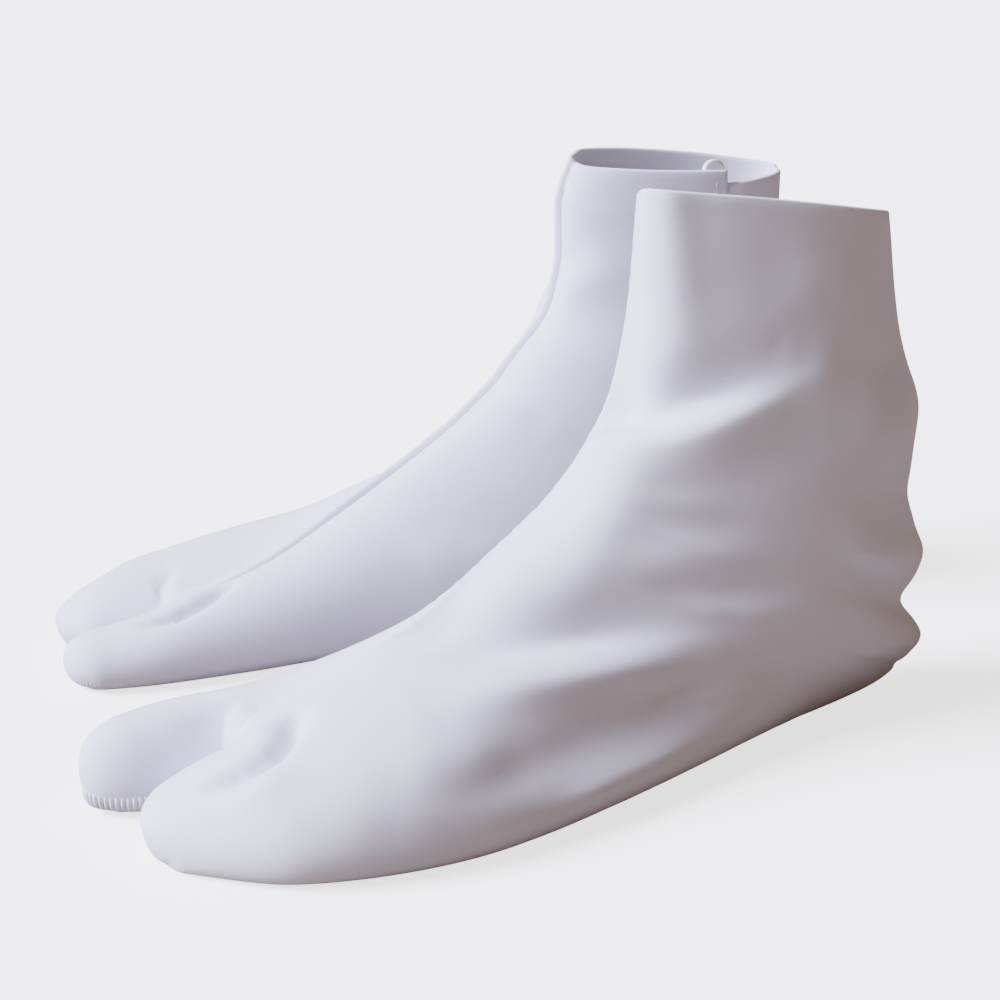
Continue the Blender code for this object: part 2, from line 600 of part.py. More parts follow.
def inset(loop, distance):
    """A closed outline moved inwards."""
    following = np.roll(loop, -1, axis=0) - loop
    following /= np.linalg.norm(following, axis=1, keepdims=True)
    before = np.roll(following, 1, axis=0)
    area = np.sum(loop[:, 0] * np.roll(loop[:, 1], -1) - np.roll(loop[:, 0], -1) * loop[:, 1])
    turn = 1 if area > 0 else -1
    sum_of_normals = turn * (np.c_[-following[:, 1], following[:, 0]]
                             + np.c_[-before[:, 1], before[:, 0]])
    half = sum_of_normals / np.linalg.norm(sum_of_normals, axis=1, keepdims=True)
    straight = turn * np.c_[-following[:, 1], following[:, 0]]
    reach = distance / np.maximum(0.4, np.sum(half * straight, axis=1, keepdims=True))
    return loop + half * reach


def station_at_level(sock, up):
    """The station of the leg whose back point is at a height."""
    low, high = 0.0, 6.0
    for _ in range(30):
        middle = (low + high) / 2
        if leg_section(sock, middle)["back"][1] > up:
            low = middle
        else:
            high = middle
    return low


def build_clasps(sock, place, collection, material):
    """Round flat clasps between the inner panel and the under-flap, one above the other."""
    shares = np.linspace(-1, 1, CLASP_CELLS + 1)
    across, along = np.meshgrid(shares, shares)
    disc_across = across * np.sqrt(1 - along ** 2 / 2)
    disc_along = along * np.sqrt(1 - across ** 2 / 2)
    for number, (level, lift) in enumerate(sock["clasps"], 1):
        middle = max(station_at_level(sock, level), 0.1)
        stations = (middle - 0.1, middle, middle + 0.1)

        def places(station):
            start = closure_width(station)
            return [start + CLASP_MIDDLE + reach for reach in (-1.0, 0.0, 1.0)]

        points, out = surface_rows(sock, "inner", stations, places)
        centre = points[1, 1] - out[1, 1] * CLASP_DEPTH + np.array((0.0, 0.0, lift))
        forward = points[1, 2] - points[1, 0]
        forward /= np.linalg.norm(forward)
        down = np.cross(forward, out[1, 1])
        disc = (centre + CLASP_RADIUS * (disc_across[..., None] * forward
                                         + disc_along[..., None] * down))
        wall_object(f"{sock['name']}_clasp_{number}", [(disc, -1)], sock, place,
                    collection, material, CLASP_THICKNESS)


def build_sock(sock, collection, materials):
    place = bpy.data.objects.new(sock["name"] + "_place", None)
    collection.objects.link(place)
    place.location = (sock["place"][0] * MM, sock["place"][1] * MM, 0)
    place.rotation_euler = (0, 0, sock["mirror"] * math.radians(sock["turn"]))
    outer = panel_grid(sock, "outer")
    inner = panel_grid(sock, "inner")
    wrap, flap = wrap_grids(sock)
    cloth = materials["cloth"]
    wall_object(sock["name"] + "_outer_panel", [(outer, 1), (wrap, 1), (flap, 1)], sock,
                place, collection, cloth, WALL)
    wall_object(sock["name"] + "_inner_panel", [(inner, -1)], sock, place, collection, cloth, WALL)
    wall_object(sock["name"] + "_sole", [(grid, 1) for grid in sole_grids(sock, outer, inner, wrap)],
                sock, place, collection, cloth, SOLE)
    build_clasps(sock, place, collection, materials["clasp"])


def build():
    for item in list(bpy.data.objects):
        bpy.data.objects.remove(item, do_unlink=True)
    collection = bpy.data.collections.new("tabi_sock_pair")
    bpy.context.scene.collection.children.link(collection)
    materials = {"cloth": panel_material("tabi tricot", (0.86, 0.85, 0.88), 0.75),
                 "clasp": panel_material("clasp resin", (0.92, 0.92, 0.9), 0.35)}
    for sock in (LEFT, RIGHT):
        build_sock(sock, collection, materials)


build()
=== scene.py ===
import math

import bpy
import numpy as np
from mathutils import Matrix, Vector, noise


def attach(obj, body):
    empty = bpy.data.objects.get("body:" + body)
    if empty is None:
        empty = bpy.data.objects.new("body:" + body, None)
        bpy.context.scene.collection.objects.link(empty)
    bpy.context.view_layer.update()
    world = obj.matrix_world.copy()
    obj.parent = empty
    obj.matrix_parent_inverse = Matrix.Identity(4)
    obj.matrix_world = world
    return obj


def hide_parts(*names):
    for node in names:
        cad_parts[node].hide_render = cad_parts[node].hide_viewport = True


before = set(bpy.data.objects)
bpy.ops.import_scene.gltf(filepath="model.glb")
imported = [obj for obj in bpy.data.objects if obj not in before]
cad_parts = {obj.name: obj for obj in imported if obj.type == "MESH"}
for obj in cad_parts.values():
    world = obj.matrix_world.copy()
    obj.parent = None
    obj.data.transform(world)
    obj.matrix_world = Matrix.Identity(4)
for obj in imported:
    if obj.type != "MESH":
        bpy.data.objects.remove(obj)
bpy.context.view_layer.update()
bpy.ops.object.select_all(action="DESELECT")
print("pair of tabi socks: frame loaded")


# camera, at the height of someone looking down at the pair from the left sock's side
viewSettings = {
    "place": (0.43660, -0.18247, 0.20153),
    "turn": 67.04,          # degrees from straight behind the toes
    "down": 17.13,
    "lens": 61.2, "sensor": 36, "clipStart": 0.01,
}


def placeCamera(settings):
    bpy.ops.object.camera_add(location=settings["place"])
    camera = bpy.context.object
    camera.name = "viewCamera"
    tilt, turn = math.radians(90 - settings["down"]), math.radians(settings["turn"])
    camera.rotation_euler = (tilt, 0, turn)
    camera.data.lens = settings["lens"]
    camera.data.sensor_width = settings["sensor"]
    camera.data.clip_start = settings["clipStart"]
    bpy.context.scene.camera = camera
    camera.select_set(False)


placeCamera(viewSettings)


# Each sock is sewn from an outer panel, an inner panel and a sole. A panel is drawn
# through sections from the front seam down to the sole seam, in millimetres:
# side is out from the middle of the sock, forward runs from heel to toes, up is up.
# A section without tops of its own is highest at its front.
sectionNames = ("frontForward", "frontUp", "backForward", "backUp",
                "outer", "inner", "wideOuter", "wideInner", "soleOuter", "soleInner",
                "seamSide", "frontPower", "backPower", "topOuter", "topInner")
toeNames = ("forward", "outer", "inner", "topOuter", "topInner", "split")

leftSock = {
    "name": "left", "mirror": 1, "place": (48.15, 107.33), "turn": 3.4,
    "sections": (
        (88, 147.3, 10, 139.3, 11, 10, .50, .50, 0, 0, 0, .66, 1.0),
        (89, 124, 6, 113, 16, 13, .50, .50, 0, 0, 0, .66, 1.0),
        (93, 101, -1, 90, 21, 17, .50, .50, 0, 0, 0, .66, 1.0),
        (101, 84, -3.5, 64, 25, 20, .50, .50, 0, 0, 0, .72, 1.0),
        (108, 75.5, -6, 40, 26, 21.5, .50, .50, 0, 0, 0, .72, 1.0),
        (113, 70.5, -7.5, 15, 26, 22, .50, .50, 0, 0, 0, .72, 1.0),
        (115, 68.8, -6.9, 10, 26, 22, .50, .50, 0, 0, 0, .73, 1.1),
        (117, 67.2, -4.5, 6.8, 26, 22, .49, .51, 0, 0, 0, .74, 1.3),
        (119, 65.8, .5, 5.6, 26, 22, .48, .50, 4.2, 4.2, 0, .75, 1.75),
        (121, 64.3, 8, 3.7, 26, 22, .50, .52, 6.2, 6.2, 0, .76, 2.0),
        (123, 62.8, 16, 2.4, 26, 22, .52, .54, 7.6, 7.6, 0, .78, 2.1),
        (125.5, 61.1, 26, 1.2, 26.5, 22, .55, .58, 8.8, 8.8, 0, .80, 2.05),
        (131, 57.7, 40, .3, 28.5, 22.5, .63, .66, 11, 10.6, 0, .84, 1.8),
        (139.5, 52, 68, 0, 32.5, 23.5, .74, .76, 17, 14, -.5, .90, 1.42),
        (149, 45.7, 100, 0, 39, 25, .78, .78, 27, 16.5, -1.5, .96, 1.15),
        (158, 41, 130, 0, 45.5, 28, .77, .77, 37, 20, -3, 1.0, 1.15),
        (170, 34.6, 156, 0, 49, 31, .74, .74, 43, 24.5, -5, 1.0, 1.15, 36.5, 34.8),
        (184, 27.8, 180, 0, 47, 33.5, .70, .70, 41, 27, -7, 1.0, 1.15, 32.5, 29),
        (193, 24, 193, 0, 43.8, 34.4, .66, .66, 37.3, 27.3, -8, 1.0, 1.15, 29, 26.5),
    ),
    "toes": (
        (193, 43.8, 34.4, 29, 26.5, 0.3),
        (202, 40, 34.6, 26, 26, 0.4),
        (208, 36, 34.5, 24, 26, 1.5),
        (214, 30.5, 34, 21, 25.5, 3.0),
        (218, 26, 33, 18.5, 24.5, 4.2),
    ),
    "outerTip": (227.5, 10.0, 8.5),
    "innerTip": (235.2, 22.0, 11.5),
    "heelCreases": ((86, 9, 2.4), (61, 7, -2.0), (42, 6.5, 3.3), (28, 5, -4.6), (15, 5.5, 3.6)),
    "seamShift": 6.0, "bandTuck": 0.0,
    "frontTrim": ((0, 0.0), (150, 0.0)),
    "backTrim": ((0, 1.5), (7, 2.2), (15, 2.4), (40, 2.6), (64, 2.6), (90, 2.0), (113, 1.2),
                 (140, 1.2)),
    "neckRise": {"outer": 3.0, "inner": 0.0},
    "flapDrop": 3.0,
    "clasps": ((134.0, 0.0), (108.0, 0.0), (82.0, 0.0), (56.0, 0.0)),
}

rightSock = {
    "name": "right", "mirror": -1, "place": (-49.85, 113.73), "turn": 3.3,
    "sections": (
        (65.4, 145.3, -10, 140.6, 14, 13, .50, .50, 0, 0, 0, .88, 1.0),
        (67.6, 122, -10, 113, 18, 15, .50, .50, 0, 0, 0, .85, 1.0),
        (72.8, 100, -12, 90, 22, 18, .50, .50, 0, 0, 0, .85, 1.0),
        (84, 85, -12, 64, 25, 21, .50, .50, 0, 0, 0, .85, 1.0),
        (91, 76, -12, 40, 27, 23, .52, .52, 0, 0, 0, .85, 1.0),
        (96, 71.5, -11, 15, 27, 23, .54, .54, 0, 0, 0, .85, 1.0),
        (98, 69.7, -9.7, 10, 27, 23, .53, .53, 0, 0, 0, .87, 1.1),
        (100, 67.9, -7, 6.5, 27, 23, .52, .52, 0, 0, 0, .90, 1.3),
        (102, 66.3, -1.5, 4, 27, 23, .52, .52, 5, 4.8, 0, .93, 1.5),
        (104, 64.7, 6, 2, 27, 23, .53, .53, 7.5, 7, 0, .95, 1.65),
        (106, 63.1, 14, .7, 27, 23, .56, .56, 9, 8.4, 0, .97, 1.7),
        (109, 60.9, 24, 0, 27.5, 23, .61, .61, 10.3, 9.4, 0, 1.0, 1.65),
        (115, 56.6, 40, 0, 29.5, 23.5, .70, .70, 13, 11, 0, 1.0, 1.5),
        (126, 49.5, 68, 0, 33, 24.5, .78, .78, 21, 15.5, -.5, 1.0, 1.3),
        (139, 41.5, 100, 0, 38.5, 26, .78, .78, 29, 18, -1.5, 1.0, 1.15, 42.5, 41.5),
        (152, 34, 130, 0, 45, 28.5, .74, .74, 37, 21, -3, 1.0, 1.15, 35.4, 34.5),
        (165, 26.5, 154, 0, 48, 31.5, .70, .70, 42, 25, -5, 1.0, 1.15, 31.2, 28.5),
        (181, 20.5, 178, 0, 46, 34, .68, .64, 40, 28, -7, 1.0, 1.15, 27.9, 24.5),
        (193, 17.2, 193, 0, 43.2, 34.4, .66, .61, 37.2, 28, -8, 1.0, 1.15, 25.5, 22.2),
    ),
    "toes": (
        (193, 43.2, 34.4, 25.5, 22.2, 0.3),
        (202, 39.5, 34.6, 23.9, 20.5, 0.4),
        (208, 36, 34.5, 23, 19, 1.5),
        (214, 31, 34, 21.6, 18, 3.0),
        (218, 27, 33, 20.3, 17.2, 4.2),
    ),
    "outerTip": (231.5, 11.0, 10.5),
    "innerTip": (232.5, 21.0, 8.0),
    "heelCreases": ((88, 9, 1.5), (46, 7, 2.0), (31, 5, -3.0), (17, 6, 2.5)),
    "seamShift": 0.0, "bandTuck": 1.6,
    "frontTrim": ((75, 0.0), (85, -0.4), (100, -1.0), (116, -0.7), (127, 1.0), (133, 1.7),
                  (139, 0.5), (146, -2.0)),
    "backTrim": ((0, 1.0), (40, 1.5), (90, 1.2), (140, 0.6)),
    "neckRise": {"outer": 4.0, "inner": -1.0},
    "flapDrop": 4.5,
    "clasps": ((138.0, 2.2), (109.0, 0.0), (82.0, 0.0), (56.0, 0.0)),
}

# how finely the cloth is drawn, and the widths that its edges take
formSettings = {
    "rowSteps": (12, 12, 16, 16, 16, 4, 3, 4, 5, 5, 6, 9, 14, 16, 15, 12, 10, 6),
    "rowsOfSolid": (0, 2, 4, 7, 11, 15),    # of the solids, over which the neck's rise fades
    "fadeRows": 3.0, "fadeEnd": 8,
    "trimEnd": 9, "trimRun": 3, "creaseLow": 0.5,
    "cleftForward": 202.0, "cleftDrop": 9.0, "cleftRows": 14, "cleftLess": 0.18,
    "noseStart": 218.0, "toeRows": 14, "noseRows": 22,
    "noseFlat": 0.55, "noseFullness": 0.7, "noseSlant": 0.6, "noseSquare": 1.1,
    "cleftRoll": {"outer": 4.0, "inner": 8.0}, "cleftRollRun": 8.0,
    "flankLean": 0.4, "flankTuck": 1.0, "seamTuck": 1.5, "leastSole": 0.3,
    "seamGap": 0.12, "shiftEnd": 15, "shiftRun": 4,
    "soleStart": 7, "points": 110, "edgePlaces": (1.5, 0.8, 0.3, 0),
    "sideColumns": 36, "ridgeColumns": 8, "ridgeRun": 5.0, "fullRun": 30.0, "easing": 60,
}
legStations = [k + n / steps for k, steps in enumerate(formSettings["rowSteps"])
               for n in range(steps)]
legRows = len(legStations)
quarter = np.linspace(0, math.pi / 2, formSettings["points"])
quarterSin, quarterCos = np.sin(quarter), np.cos(quarter)
nearlyZero = 1e-6
signs = {"outer": 1, "inner": -1}       # which way each panel lies from the sock's middle


def filled(row, count, value):
    # a table's row with the values that it leaves out
    return (*row, *[value] * (count - len(row)))


def slopesOf(x, y):
    # slopes of a smooth curve that never overshoots its points
    h = np.diff(x)
    d = np.diff(y) / h
    m = np.zeros_like(y)
    for k in range(1, len(x) - 1):
        if d[k - 1] * d[k] > 0:
            w1 = 2 * h[k] + h[k - 1]
            w2 = h[k] + 2 * h[k - 1]
            m[k] = (w1 + w2) / (w1 / d[k - 1] + w2 / d[k])
    m[0], m[-1] = d[0], d[-1]
    return m


def smoothAt(x, y, at):
    x, y = np.asarray(x, float), np.asarray(y, float)
    m = slopesOf(x, y)
    k = int(np.clip(np.searchsorted(x, at) - 1, 0, len(x) - 2))
    h = x[k + 1] - x[k]
    t = (at - x[k]) / h
    return ((1 + 2 * t) * (1 - t) ** 2 * y[k] + t * (1 - t) ** 2 * h * m[k]
            + t * t * (3 - 2 * t) * y[k + 1] + t * t * (t - 1) * h * m[k + 1])


def rowAt(names, places, rows, at):
    return {name: smoothAt(places, column, at) for name, column in zip(names, zip(*rows))}


def softStep(t):
    t = np.clip(t, 0.0, 1.0)
    return t * t * (3 - 2 * t)


def unit(vectors):
    size = np.linalg.norm(vectors, axis=-1, keepdims=True)
    return vectors / np.maximum(size, 1e-9)


def runOf(line):
    return np.concatenate([[0.0], np.cumsum(np.linalg.norm(np.diff(line, axis=0), axis=1))])


def valuesAt(places, run, rows):
    return np.stack([np.interp(places, run, column) for column in rows.T], axis=-1)


def alongLine(line, places):
    return valuesAt(places, runOf(line), line)


def quarterShare(k, count):
    return math.sin(math.pi / 2 * k / count)


def legSection(sock, station):
    # the numbers of one section, with the front and back points (forward, up) of its height
    rows = [filled(row, len(sectionNames), row[1]) for row in sock["sections"]]
    row = rowAt(sectionNames, range(len(rows)), rows, station)
    frontUp, backUp = row["frontUp"], row["backUp"]
    back = row["backForward"]
    if backUp > formSettings["creaseLow"]:
        for up, spread, out in sock["heelCreases"]:
            back -= out * math.exp(-((backUp - up) / spread) ** 2)
    trimShare = softStep((formSettings["trimEnd"] - station) / formSettings["trimRun"])
    back += np.interp(backUp, *zip(*sock["backTrim"])) * trimShare
    front = row["frontForward"] + np.interp(frontUp, *zip(*sock["frontTrim"]))
    return {**row, "front": (front, frontUp), "back": (back, max(backUp, 0.0)),
            "standing": station >= formSettings["soleStart"],
            "split": formSettings["seamGap"], "rollOuter": 0.0, "rollInner": 0.0}


def toeSection(sock, forward, seamUp):
    rows = sock["toes"]
    section = dict(zip(sectionNames, sock["sections"][-1]))
    insets = {part: section[part] - section["sole" + part.capitalize()] for part in signs}
    section |= rowAt(toeNames, [row[0] for row in rows], rows, forward)
    past = (forward - formSettings["cleftForward"]) / formSettings["cleftRollRun"]
    for part in signs:
        roll = formSettings["cleftRoll"][part] * min(1.0, max(0.0, past))
        section["roll" + part.capitalize()] = formSettings["flankLean"] + roll
        section["sole" + part.capitalize()] = section[part] - insets[part]
    split = max(formSettings["seamGap"], section["split"] - formSettings["cleftLess"])
    return {**section, "front": (forward, seamUp), "back": (forward, 0.0),
            "standing": True, "split": split}


def halfOf(section, part):
    # one half's width, the share of the height that it is widest at, its sole, top and roll,
    # and where the front seam lies on it
    word = part.capitalize()
    seam = signs[part] * section["seamSide"] + section["split"] / 2
    return section[part], *(section[name + word] for name in ("wide", "sole", "top", "roll")), seam


def halfSection(section, part):
    # points (side, forward, up) of one panel's section, and the number of its highest
    wide, wideAt, sole, topUp, roll, seam = halfOf(section, part)
    front, back = np.array(section["front"]), np.array(section["back"])
    seamUp = front[1]
    topUp = max(topUp, seamUp)
    rise = seamUp - back[1]
    top = front
    if rise <= nearlyZero:
        top = np.array((front[0], topUp))
    elif topUp > seamUp + nearlyZero:
        top = front + (front - back) * (topUp - seamUp) / rise
    wideUp = top[1] + (back[1] - top[1]) * wideAt
    level = min(1.0, max(0.0, (seamUp - wideUp) / (top[1] - wideUp)))
    offset = math.sqrt(1 - level ** 2)
    flank = (2 * seam - wide * (1 - offset)) / (1 + offset)
    middle, radius = (wide + flank) / 2, (wide - flank) / 2
    upperSide = radius * quarterSin ** section["frontPower"]
    upperDown = wideAt * (1 - quarterCos)
    lowDown = wideAt + (1 - wideAt) * quarterSin
    lowSide = sole + (wide - sole) * quarterCos ** section["backPower"]
    line = np.vstack([np.c_[middle + upperSide, upperDown], np.c_[lowSide, lowDown][1:]])
    if section["standing"]:
        edge = max(sole - formSettings["seamTuck"], formSettings["leastSole"] * sole)
        line = np.vstack([line, (edge, 1.0)])
    flankSide = flank + roll - roll * quarterCos
    inner = np.vstack([np.c_[middle - upperSide, upperDown], np.c_[flankSide, lowDown][1:]])
    tuck = formSettings["flankTuck"]
    if roll > formSettings["flankLean"] + tuck and seamUp <= 0:
        inner = np.vstack([inner, (flank + roll + tuck, 1.0)])
    innerUp = top[1] + (back[1] - top[1]) * inner[:, 1]
    keep = innerUp > (seamUp + nearlyZero if seamUp > 0 else -math.inf)
    keep[0] = False
    flankPoints = inner[keep][::-1]
    if seamUp > 0 and topUp > seamUp + 0.05:
        seamDown = (top[1] - seamUp) / (top[1] - back[1])
        flankPoints = np.vstack([(max(seam, flank), seamDown), flankPoints])
    if len(flankPoints):
        line = np.vstack([flankPoints, line])
    else:
        line[0, 0] = seam
    along = top + (back - top) * line[:, 1:2]
    return np.c_[signs[part] * line[:, 0], along], len(flankPoints)


def noseLine(sock, part, share):
    # one toe's section between the start of its nose and its tip
    noseStart, flatEnd = formSettings["noseStart"], formSettings["noseFlat"]
    seamTuck = formSettings["seamTuck"]
    wide, wideAt, sole, topUp, roll, flank = halfOf(toeSection(sock, noseStart, 0.0), part)
    tipForward, tipSide, tipUp = sock[part + "Tip"]
    roundClose = math.sqrt(max(0.0, 1 - share * share))
    close, fullness = roundClose, formSettings["noseFullness"]
    if part == "outer":
        close, fullness = (1 - share) ** formSettings["noseSlant"], 1.0
    flat = math.sqrt(max(0.0, 1 - (share / flatEnd) ** 2))
    under = max(0.0, (share - flatEnd) / (1 - flatEnd))
    top = tipUp + (topUp - tipUp) * close ** fullness
    bottom = tipUp * (1 - math.sqrt(max(0.0, 1 - under ** 2)))
    startWide = topUp * (1 - wideAt)
    wideUp = min(max(startWide + (tipUp - startWide) * share, bottom), top)

    def oneSide(width, soleSide):
        edge = min(soleSide + seamTuck, width) if soleSide > 0 else 0.0
        upper = np.c_[width * quarterSin, wideUp + (top - wideUp) * quarterCos]
        lower = np.c_[edge + (width - edge) * quarterCos ** formSettings["noseSquare"],
                      wideUp - (wideUp - bottom) * quarterSin]
        points = np.vstack([upper, lower[1:]])
        return np.vstack([points, (soleSide, bottom)]) if soleSide > 0 else points

    outer = oneSide((wide - tipSide) * close, max(0.0, (sole - seamTuck - tipSide) * flat))
    inner = oneSide((tipSide - flank) * roundClose,
                    max(0.0, (tipSide - flank - roll - formSettings["flankTuck"]) * flat))
    line = np.vstack([inner[::-1] * (-1, 1), outer[1:]])
    side = signs[part] * (tipSide + line[:, 0])
    forward = np.full(len(line), noseStart + (tipForward - noseStart) * share)
    return np.c_[side, forward, line[:, 1]], len(inner) - 1


# the closure on the inner side of the ankle: how far its edge stands from the back line,
# and how deep the flap lies under it, by distance from that edge
closureSettings = {
    "stations": (0, 3, 6, 11, 12, 12.5),
    "widths": (29.0, 27.0, 25.0, 9.0, 1.2, 0.0),
    "gap": 0.5, "gapWidth": 1.2, "leastWidth": 0.25,
    "flapLow": 22.0, "flapRun": 12,
    "flapPlaces": (-4.0, -3.0, -2.0, -1.0, 0.0, 1.0, 2.5, 5.0, 8.0, 11.0, 14.0, 16.0),
    "flapDepths": (0.0, 0.35, 0.95, 1.5, 1.95, 2.35, 2.75, 3.0, 3.05, 3.05, 3.0, 2.9),
    "wrapColumns": 12,
    "edge": ((0, 0.3, 0.8, 1.5), (-0.5, -0.22, -0.05, 0.0)),    # how far it is turned in
}


def closureWidth(station):
    if station >= closureSettings["stations"][-1]:
        return 0.0
    return float(smoothAt(closureSettings["stations"], closureSettings["widths"], station))


def gridNormals(points, part):
    normal = np.cross(np.gradient(points, axis=0), np.gradient(points, axis=1))
    flat = np.linalg.norm(normal, axis=2) < 1e-7     # at a toe's tip, where a row is one point
    normal = unit(normal * -signs[part])
    normal[flat.any(axis=1)] = (0.0, 1.0, 0.0)
    return normal


# Folds are soft: from forward, up to forward, up, then width, height (below zero for a
# trough), bend of the line and how much gentler its upper side is. A pucker is
# side, forward, up, its radii along each of them, and its height. A hollow is its width,
# its height and the points of its line.
foldSettings = {
    "leftouter": {
        "folds": (
            (87, 176, 84, 99, 6.5, 1.7), (93, 92, 123, 48, 6.0, 1.1, 2.0),
            (126, 76.5, 48, 100, 6.0, 3.7, 0.5, -0.6), (124, 84.5, 50, 108, 6.0, -3.9, 1.0, 0.5),
            (94, 73, 56, 82, 8, -0.3, 1.0), (164, 42, 76, 41.5, 5.6, -4.5, 2.0, 0.5),
            (164, 34, 78, 31.5, 4.2, 3.0, 1.5, -0.1), (98, 23.5, 70, 22, 1.8, 0.5),
            (176, 20, 60, 25, 7.0, -2.3, -1.0), (140, 9, 80, 11.5, 4.0, 1.5, 0.5),
            (104, 74, 72, 73, 3.5, 0.35, 0.5), (100, 68, 64, 65, 4.0, -0.6),
            (98, 60, 64, 57, 3.5, 0.4), (104, 54, 44, 46, 4.5, -1.1, -1.0),
            (86, 45, 50, 38, 3.5, 0.6, 0.5), (42, 57, 6, 37, 2.6, 1.1, 1.5, -0.2),
            (38, 51, 4, 31, 4.5, -2.4, 1.0, -0.2), (6, 21, 48, 25, 5.0, 1.3, 1.0),
            (8, 46, 44, 66, 6.0, 1.1, 2.0), (6, 80, 40, 90, 8, 1.0, 2.0),
            (10, 98, 46, 110, 8, -1.1, 2.0), (26, 122, 60, 130, 9, 0.9, 1.0),
            (178, 26, 140, 24, 7, 0.8, 1.0), (190, 14, 150, 8, 6, -0.6, 0.5),
        ),
        "puckers": (
            (20, 58, 111, 3, 2.6, 2.6, -0.7),
            (8, 197, 25, 3.6, 5, 6, 1.8), (28, 203, 24, 4, 9, 8, 0.8),
        ),
        "hollows": (
            (2.8, -5.6, ((4, 185, 30.5), (10, 188, 30), (16, 193, 29), (20, 199, 27),
                         (20.5, 205, 24.5), (18, 212, 21.5), (14, 217, 19))),
        ),
        "welt": 1.0, "grain": 0.45,
    },
    "leftinner": {
        "folds": (
            (110, 92, 66, 107, 7, 1.8, 2.0), (104, 104, 70, 118, 7, -1.2, 1.0),
            (14, 30, 46, 35, 6, -1.8, -1.0, 0.2), (124, 52, 82, 42, 7, 1.4, -2.0, 0.2),
            (116, 64, 80, 57, 7, -1.2, -1.0), (34, 46, 60, 66, 7, 1.1, 2.0),
            (170, 26, 130, 20, 7, 0.8, 1.0),
        ),
        "puckers": (
            (-20, 60, 98, 6, 6, 6, -0.6),
            (-17, 196, 26, 5, 7, 4, 0.7), (-13, 206, 20, 3, 6, 5, -1.0),
            (-22, 214, 26, 3.0, 14, 2.2, -0.55), (-28, 216, 23, 3.0, 13, 2.2, 0.5),
            (-32, 214, 17, 3.0, 13, 2.4, -0.5),
        ),
        "hollows": (),
        "welt": 1.0, "grain": 0.4,
    },
    "rightouter": {
        "folds": (
            (90, 92, 46, 107, 7, 1.8, 2.0, 0.2), (84, 104, 48, 118, 7, -1.3, 1.0),
            (6, 34, 38, 41, 6, -1.9, -1.0, 0.2), (124, 46, 80, 39, 8, 1.4, -2.0, 0.2),
            (116, 58, 74, 52, 7, -1.2, -1.0), (8, 46, 40, 62, 7, 1.2, 2.0),
            (170, 20, 126, 20, 7, 0.7, 1.0),
        ),
        "puckers": (
            (24, 62, 108, 6, 6, 6, -0.7),
            (10, 197, 20, 4, 6, 5, -1.4), (22, 206, 18, 6, 7, 6, 0.6),
        ),
        "hollows": (
            (1.4, -1.5, ((6, 192, 25), (3, 197, 23), (0, 200, 20), (-3, 200, 16), (-4, 199, 13))),
        ),
        "welt": 1.5, "grain": 0.4,
    },
    "rightinner": {
        "folds": (
            (88, 100, 48, 113, 7, 1.4, 2.0), (84, 109, 58, 121, 6, -1.2, 1.0),
            (4, 34, 36, 43, 6, -1.7, -1.0, 0.2), (30, 54, 70, 60, 8, 1.1, 2.0),
            (130, 30, 80, 24, 8, 0.9, -1.0),
        ),
        "puckers": (
            (-20, 83, 68, 4.5, 4.5, 4.5, -0.9),
            (-13, 195, 22, 4.5, 7, 5, 1.5),
        ),
        "hollows": (
            (2.5, -4.2, ((-12, 175, 26.5), (-16, 181, 25.5), (-20, 187, 24), (-23.5, 193, 22.3),
                         (-25.5, 199.5, 20.5), (-25, 207, 18.5), (-22, 213, 17))),
        ),
        "welt": 1.0, "grain": 0.35,
    },
}


def foldHeight(settings, points):
    forward, up = points[..., 1], points[..., 2]
    total = np.zeros(points.shape[:-1])
    for row in settings["folds"]:
        fromForward, fromUp, toForward, toUp, width, height, bend, skew = filled(row, 8, 0.0)
        run = np.array((toForward - fromForward, toUp - fromUp), float)
        length = np.linalg.norm(run)
        ahead = ((forward - fromForward) * run[0] + (up - fromUp) * run[1]) / length ** 2
        t = np.clip(ahead, 0, 1)
        beside = ((up - fromUp) * -run[0] + (forward - fromForward) * run[1]) / length
        beside = beside - bend * 4 * t * (1 - t)
        past = (ahead - t) * length
        wide = width * (1 + skew * np.tanh(beside / width)) * (0.75 + 0.35 * t)
        taper = 0.12 + 0.88 * softStep(t / 0.3) * softStep((1 - t) / 0.45)
        total += height * taper * np.exp(-(beside / wide) ** 2 - (past / width) ** 2)
    return total


def puckerHeight(settings, points):
    total = np.zeros(points.shape[:-1])
    for *centre, wide, long, high, height in settings["puckers"]:
        away = np.sum(((points - centre) / (wide, long, high)) ** 2, axis=-1)
        total += height * np.exp(-away)
    return total


def hollowHeight(settings, points, steps=24):
    # a soft groove along a curved line, deepest in its middle
    total = np.zeros(points.shape[:-1])
    for wide, height, line in settings["hollows"]:
        line = np.array(line, float)
        fine = alongLine(line, np.linspace(0, runOf(line)[-1], steps + 1))
        away = np.linalg.norm(points[..., None, :] - fine, axis=-1)
        share = np.argmin(away, axis=-1) / steps
        taper = softStep(share / 0.35) * softStep((1 - share) / 0.4)
        total += height * taper * np.exp(-(np.min(away, axis=-1) / wide) ** 2)
    return total


def grainHeight(points, seed):
    # the slack of cloth that nothing holds tight: long low waves, and shorter ones on them
    out = np.zeros(points.shape[:-1])
    for index in np.ndindex(out.shape):
        side, forward, up = points[index]
        low = noise.noise(Vector((side / 34 + seed, forward / 52, up / 30 + seed)))
        mid = noise.noise(Vector((side / 15 + seed, forward / 24 + up / 40, up / 13 - seed)))
        out[index] = low + 0.35 * mid
    return out


